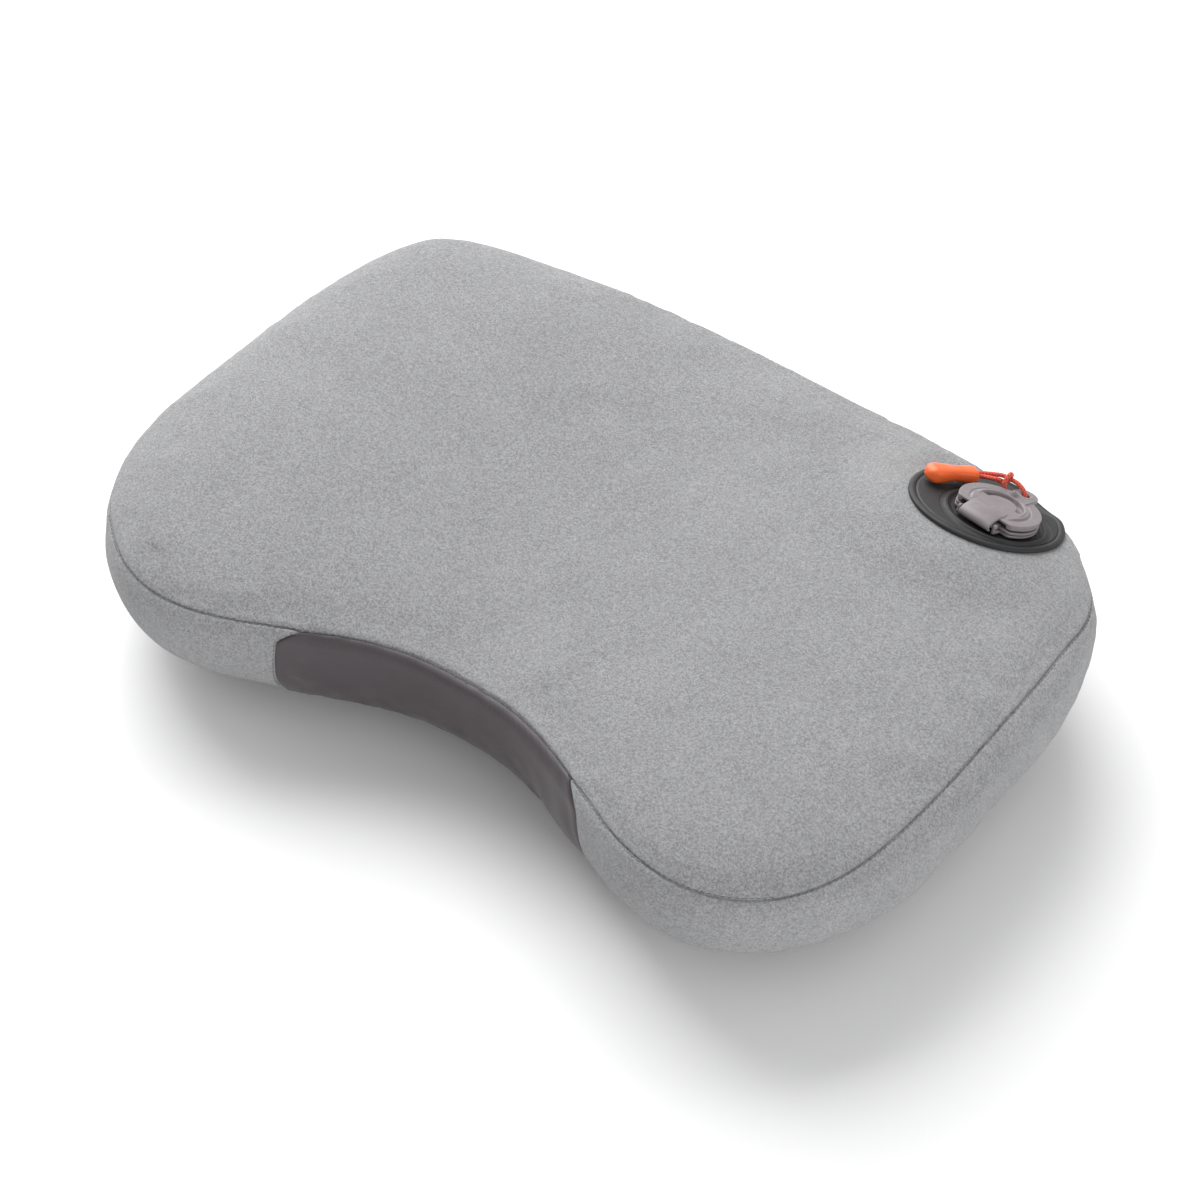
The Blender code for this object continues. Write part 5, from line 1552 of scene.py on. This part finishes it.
class PILLOW_OT_grip(Operator):
    """Makes the moulded grip: a full round end, a slight waist and a socket for the cord."""
    bl_idname = "pillow.grip"
    bl_label = "Grip"

    def execute(self, context):
        valve = context.scene.pillow_valve
        orange = moulded("moulded grip", context.scene.pillow_colours.grip, 0.40, 2400.0, 1.12, 0.3)
        stations = np.concatenate([[0, 0.006, 0.016, 0.032], np.linspace(0.06, 0.90, 46),
                                   [0.925, 0.947, 0.965, 0.980, 0.991, 0.998]])
        turn = np.linspace(0, 2 * np.pi, 64, endpoint=False)
        cos_t, sin_t = np.cos(turn), np.sin(turn)
        power = 2 / 3.4
        shape_y, shape_z = np.sign(cos_t) * np.abs(cos_t) ** power, np.sign(sin_t) * np.abs(sin_t) ** power
        rings = []
        for radius, x in GRIP_SOCKET:
            ring = [np.full(64, x * MM), radius * MM * cos_t, radius * MM * sin_t * 0.95]
            rings.append(np.stack(ring, axis=1))
        for s in stations:
            mouth = 1 - (1 - min(1, s / 0.034)) ** 2 * 0.16
            tip = math.sqrt(max(0.0, 1 - max(0.0, (s - 0.80) / 0.20) ** 2.6))
            waist = 1 - 0.13 * math.exp(-((s - 0.42) / 0.20) ** 2)
            bulb = 0.86 + 0.14 * float(smooth_share(np.array((s - 0.45) / 0.35)))
            width = valve.grip_width / 2 * waist * bulb * mouth * tip
            swell = 0.88 + 0.12 * float(smooth_share(np.array((s - 0.4) / 0.4)))
            height = valve.grip_height / 2 * swell * mouth * tip
            height *= 1 - 0.10 * math.exp(-((s - 0.45) / 0.16) ** 2)
            lift = 0.35 * MM * math.exp(-((s - 0.45) / 0.2) ** 2)
            ring = [np.full(64, s * valve.grip_length), width * shape_y, height * shape_z + lift]
            rings.append(np.stack(ring, axis=1))
        cos_g, sin_g = math.cos(GRIP_TURN), math.sin(GRIP_TURN)
        placed = []
        for ring in rings:
            x = GRIP_MOUTH[0] + ring[:, 0] * cos_g - ring[:, 1] * sin_g
            y = GRIP_MOUTH[1] + ring[:, 0] * sin_g + ring[:, 1] * cos_g
            placed.append(VALVE.world(np.stack([x, y, ring[:, 2] + grip_height()], axis=1)))
        grip = solid_of_rings("cord_grip", placed, False, orange)
        deliver(grip, "pull", ["pull_grip"])
        return {"FINISHED"}


class PILLOW_OT_cord(Operator):
    """Makes the braided pull cord, doubled through the tab's hole and knotted beside it."""
    bl_idname = "pillow.cord"
    bl_label = "Pull cord"

    def execute(self, context):
        diameter = context.scene.pillow_valve.cord
        path = cord_points()
        cord = tube("braided_cord", path, diameter / 2, braid_material())
        deliver(cord, "pull", ["pull_cord"])
        edge = VALVE.world(np.array([-5.6 * MM, TONGUE_HOLE_Y, CAP_TOP]))
        return {"FINISHED"}


# ---------------------------------------------------------------- the stage
AZIMUTH, ELEVATION = math.radians(35.9386), math.radians(45.4746)
DISTANCE, LENS = 1.25592, 88.08
TARGET = Vector((0, -0.02117, 0.0465))


def area_light(name, place, aim, width, power):
    """A soft square light turned towards its aim."""
    data = bpy.data.lights.new(name, "AREA")
    data.shape, data.size, data.energy = "SQUARE", width, power
    light = bpy.data.objects.new(name, data)
    light.location = place
    light.rotation_euler = (Vector(aim) - Vector(place)).to_track_quat("-Z", "Y").to_euler()
    bpy.context.scene.collection.objects.link(light)


class PILLOW_OT_stage(Operator):
    """Sets the pale floor, the soft studio light and the camera."""
    bl_idname = "pillow.stage"
    bl_label = "Stage"

    def execute(self, context):
        scene = context.scene
        floor_material = bpy.data.materials.new("studio floor")
        floor_material.use_nodes = True
        shader = floor_material.node_tree.nodes["Principled BSDF"]
        shader.inputs["Base Color"].default_value = (0.93, 0.93, 0.93, 1)
        shader.inputs["Roughness"].default_value = 0.9
        half, level = 6.0, -0.3 * MM
        corners = [(-half, -half, level), (half, -half, level), (half, half, level), (-half, half, level)]
        floor = new_object("studio_floor", corners, [(0, 1, 2, 3)], [floor_material], smooth=False)
        world = bpy.data.worlds.new("studio")
        world.use_nodes = True
        sky = world.node_tree.nodes["Background"]
        sky.inputs["Color"].default_value = (0.985, 0.99, 1.0, 1)
        sky.inputs["Strength"].default_value = 0.46
        scene.world = world
        area_light("key", (-1.15, 0.85, 1.15), (0, 0, 0.04), 1.9, 66)
        area_light("fill", (0.6, -1.7, 0.30), (0, 0, 0.03), 1.6, 7)
        area_light("side", (1.7, -0.3, 0.35), (0, 0, 0.03), 1.2, 17)
        scene.view_settings.view_transform = "Standard"
        camera = bpy.data.cameras.new("camera")
        camera.lens, camera.sensor_width = LENS, 36
        camera.shift_x, camera.shift_y = 0.0196, -0.0100
        camera.dof.use_dof = False
        holder = bpy.data.objects.new("camera", camera)
        sin_a, cos_a = math.sin(AZIMUTH), math.cos(AZIMUTH)
        sin_e, cos_e = math.sin(ELEVATION), math.cos(ELEVATION)
        back = Vector((sin_a * cos_e, -cos_a * cos_e, sin_e))
        right = Vector((cos_a, sin_a, 0))
        up = back.cross(right)
        turned = Matrix((right, up, back)).transposed().to_4x4()
        holder.matrix_world = Matrix.Translation(TARGET + back * DISTANCE) @ turned
        scene.collection.objects.link(holder)
        scene.camera = holder
        return {"FINISHED"}


# ---------------------------------------------------------------- add-on
STEPS = (PILLOW_OT_stage, PILLOW_OT_cover, PILLOW_OT_stitches, PILLOW_OT_bladder, PILLOW_OT_disc,
         PILLOW_OT_seat, PILLOW_OT_flap, PILLOW_OT_cap, PILLOW_OT_grip, PILLOW_OT_cord)
GROUPS = {"pillow_cushion": CushionSizes, "pillow_cover": CoverSizes, "pillow_valve": ValveSizes,
          "pillow_colours": PillowColours}


class PILLOW_PT_panel(Panel):
    """Lists the pillow's sizes, colours and making steps."""
    bl_idname = "PILLOW_PT_panel"
    bl_label = "Camp Pillow"
    bl_space_type = "VIEW_3D"
    bl_region_type = "UI"
    bl_category = "Pillow"

    def draw(self, context):
        for group in GROUPS:
            box = self.layout.box()
            settings = getattr(context.scene, group)
            for key in settings.bl_rna.properties.keys():
                if key not in ("rna_type", "name"):
                    box.prop(settings, key)
        for step in STEPS:
            self.layout.operator(step.bl_idname)


def register():
    for group in GROUPS.values():
        bpy.utils.register_class(group)
    for name, group in GROUPS.items():
        setattr(bpy.types.Scene, name, PointerProperty(type=group))
    for thing in (*STEPS, PILLOW_PT_panel):
        bpy.utils.register_class(thing)


def unregister():
    for thing in (PILLOW_PT_panel, *reversed(STEPS)):
        bpy.utils.unregister_class(thing)
    for name, group in GROUPS.items():
        delattr(bpy.types.Scene, name)
        bpy.utils.unregister_class(group)


def main():
    register()
    skin.middle = skin_middle()
    for step in STEPS:
        family, action = step.bl_idname.split(".")
        getattr(getattr(bpy.ops, family), action)()


if __name__ == "__main__":
    main()
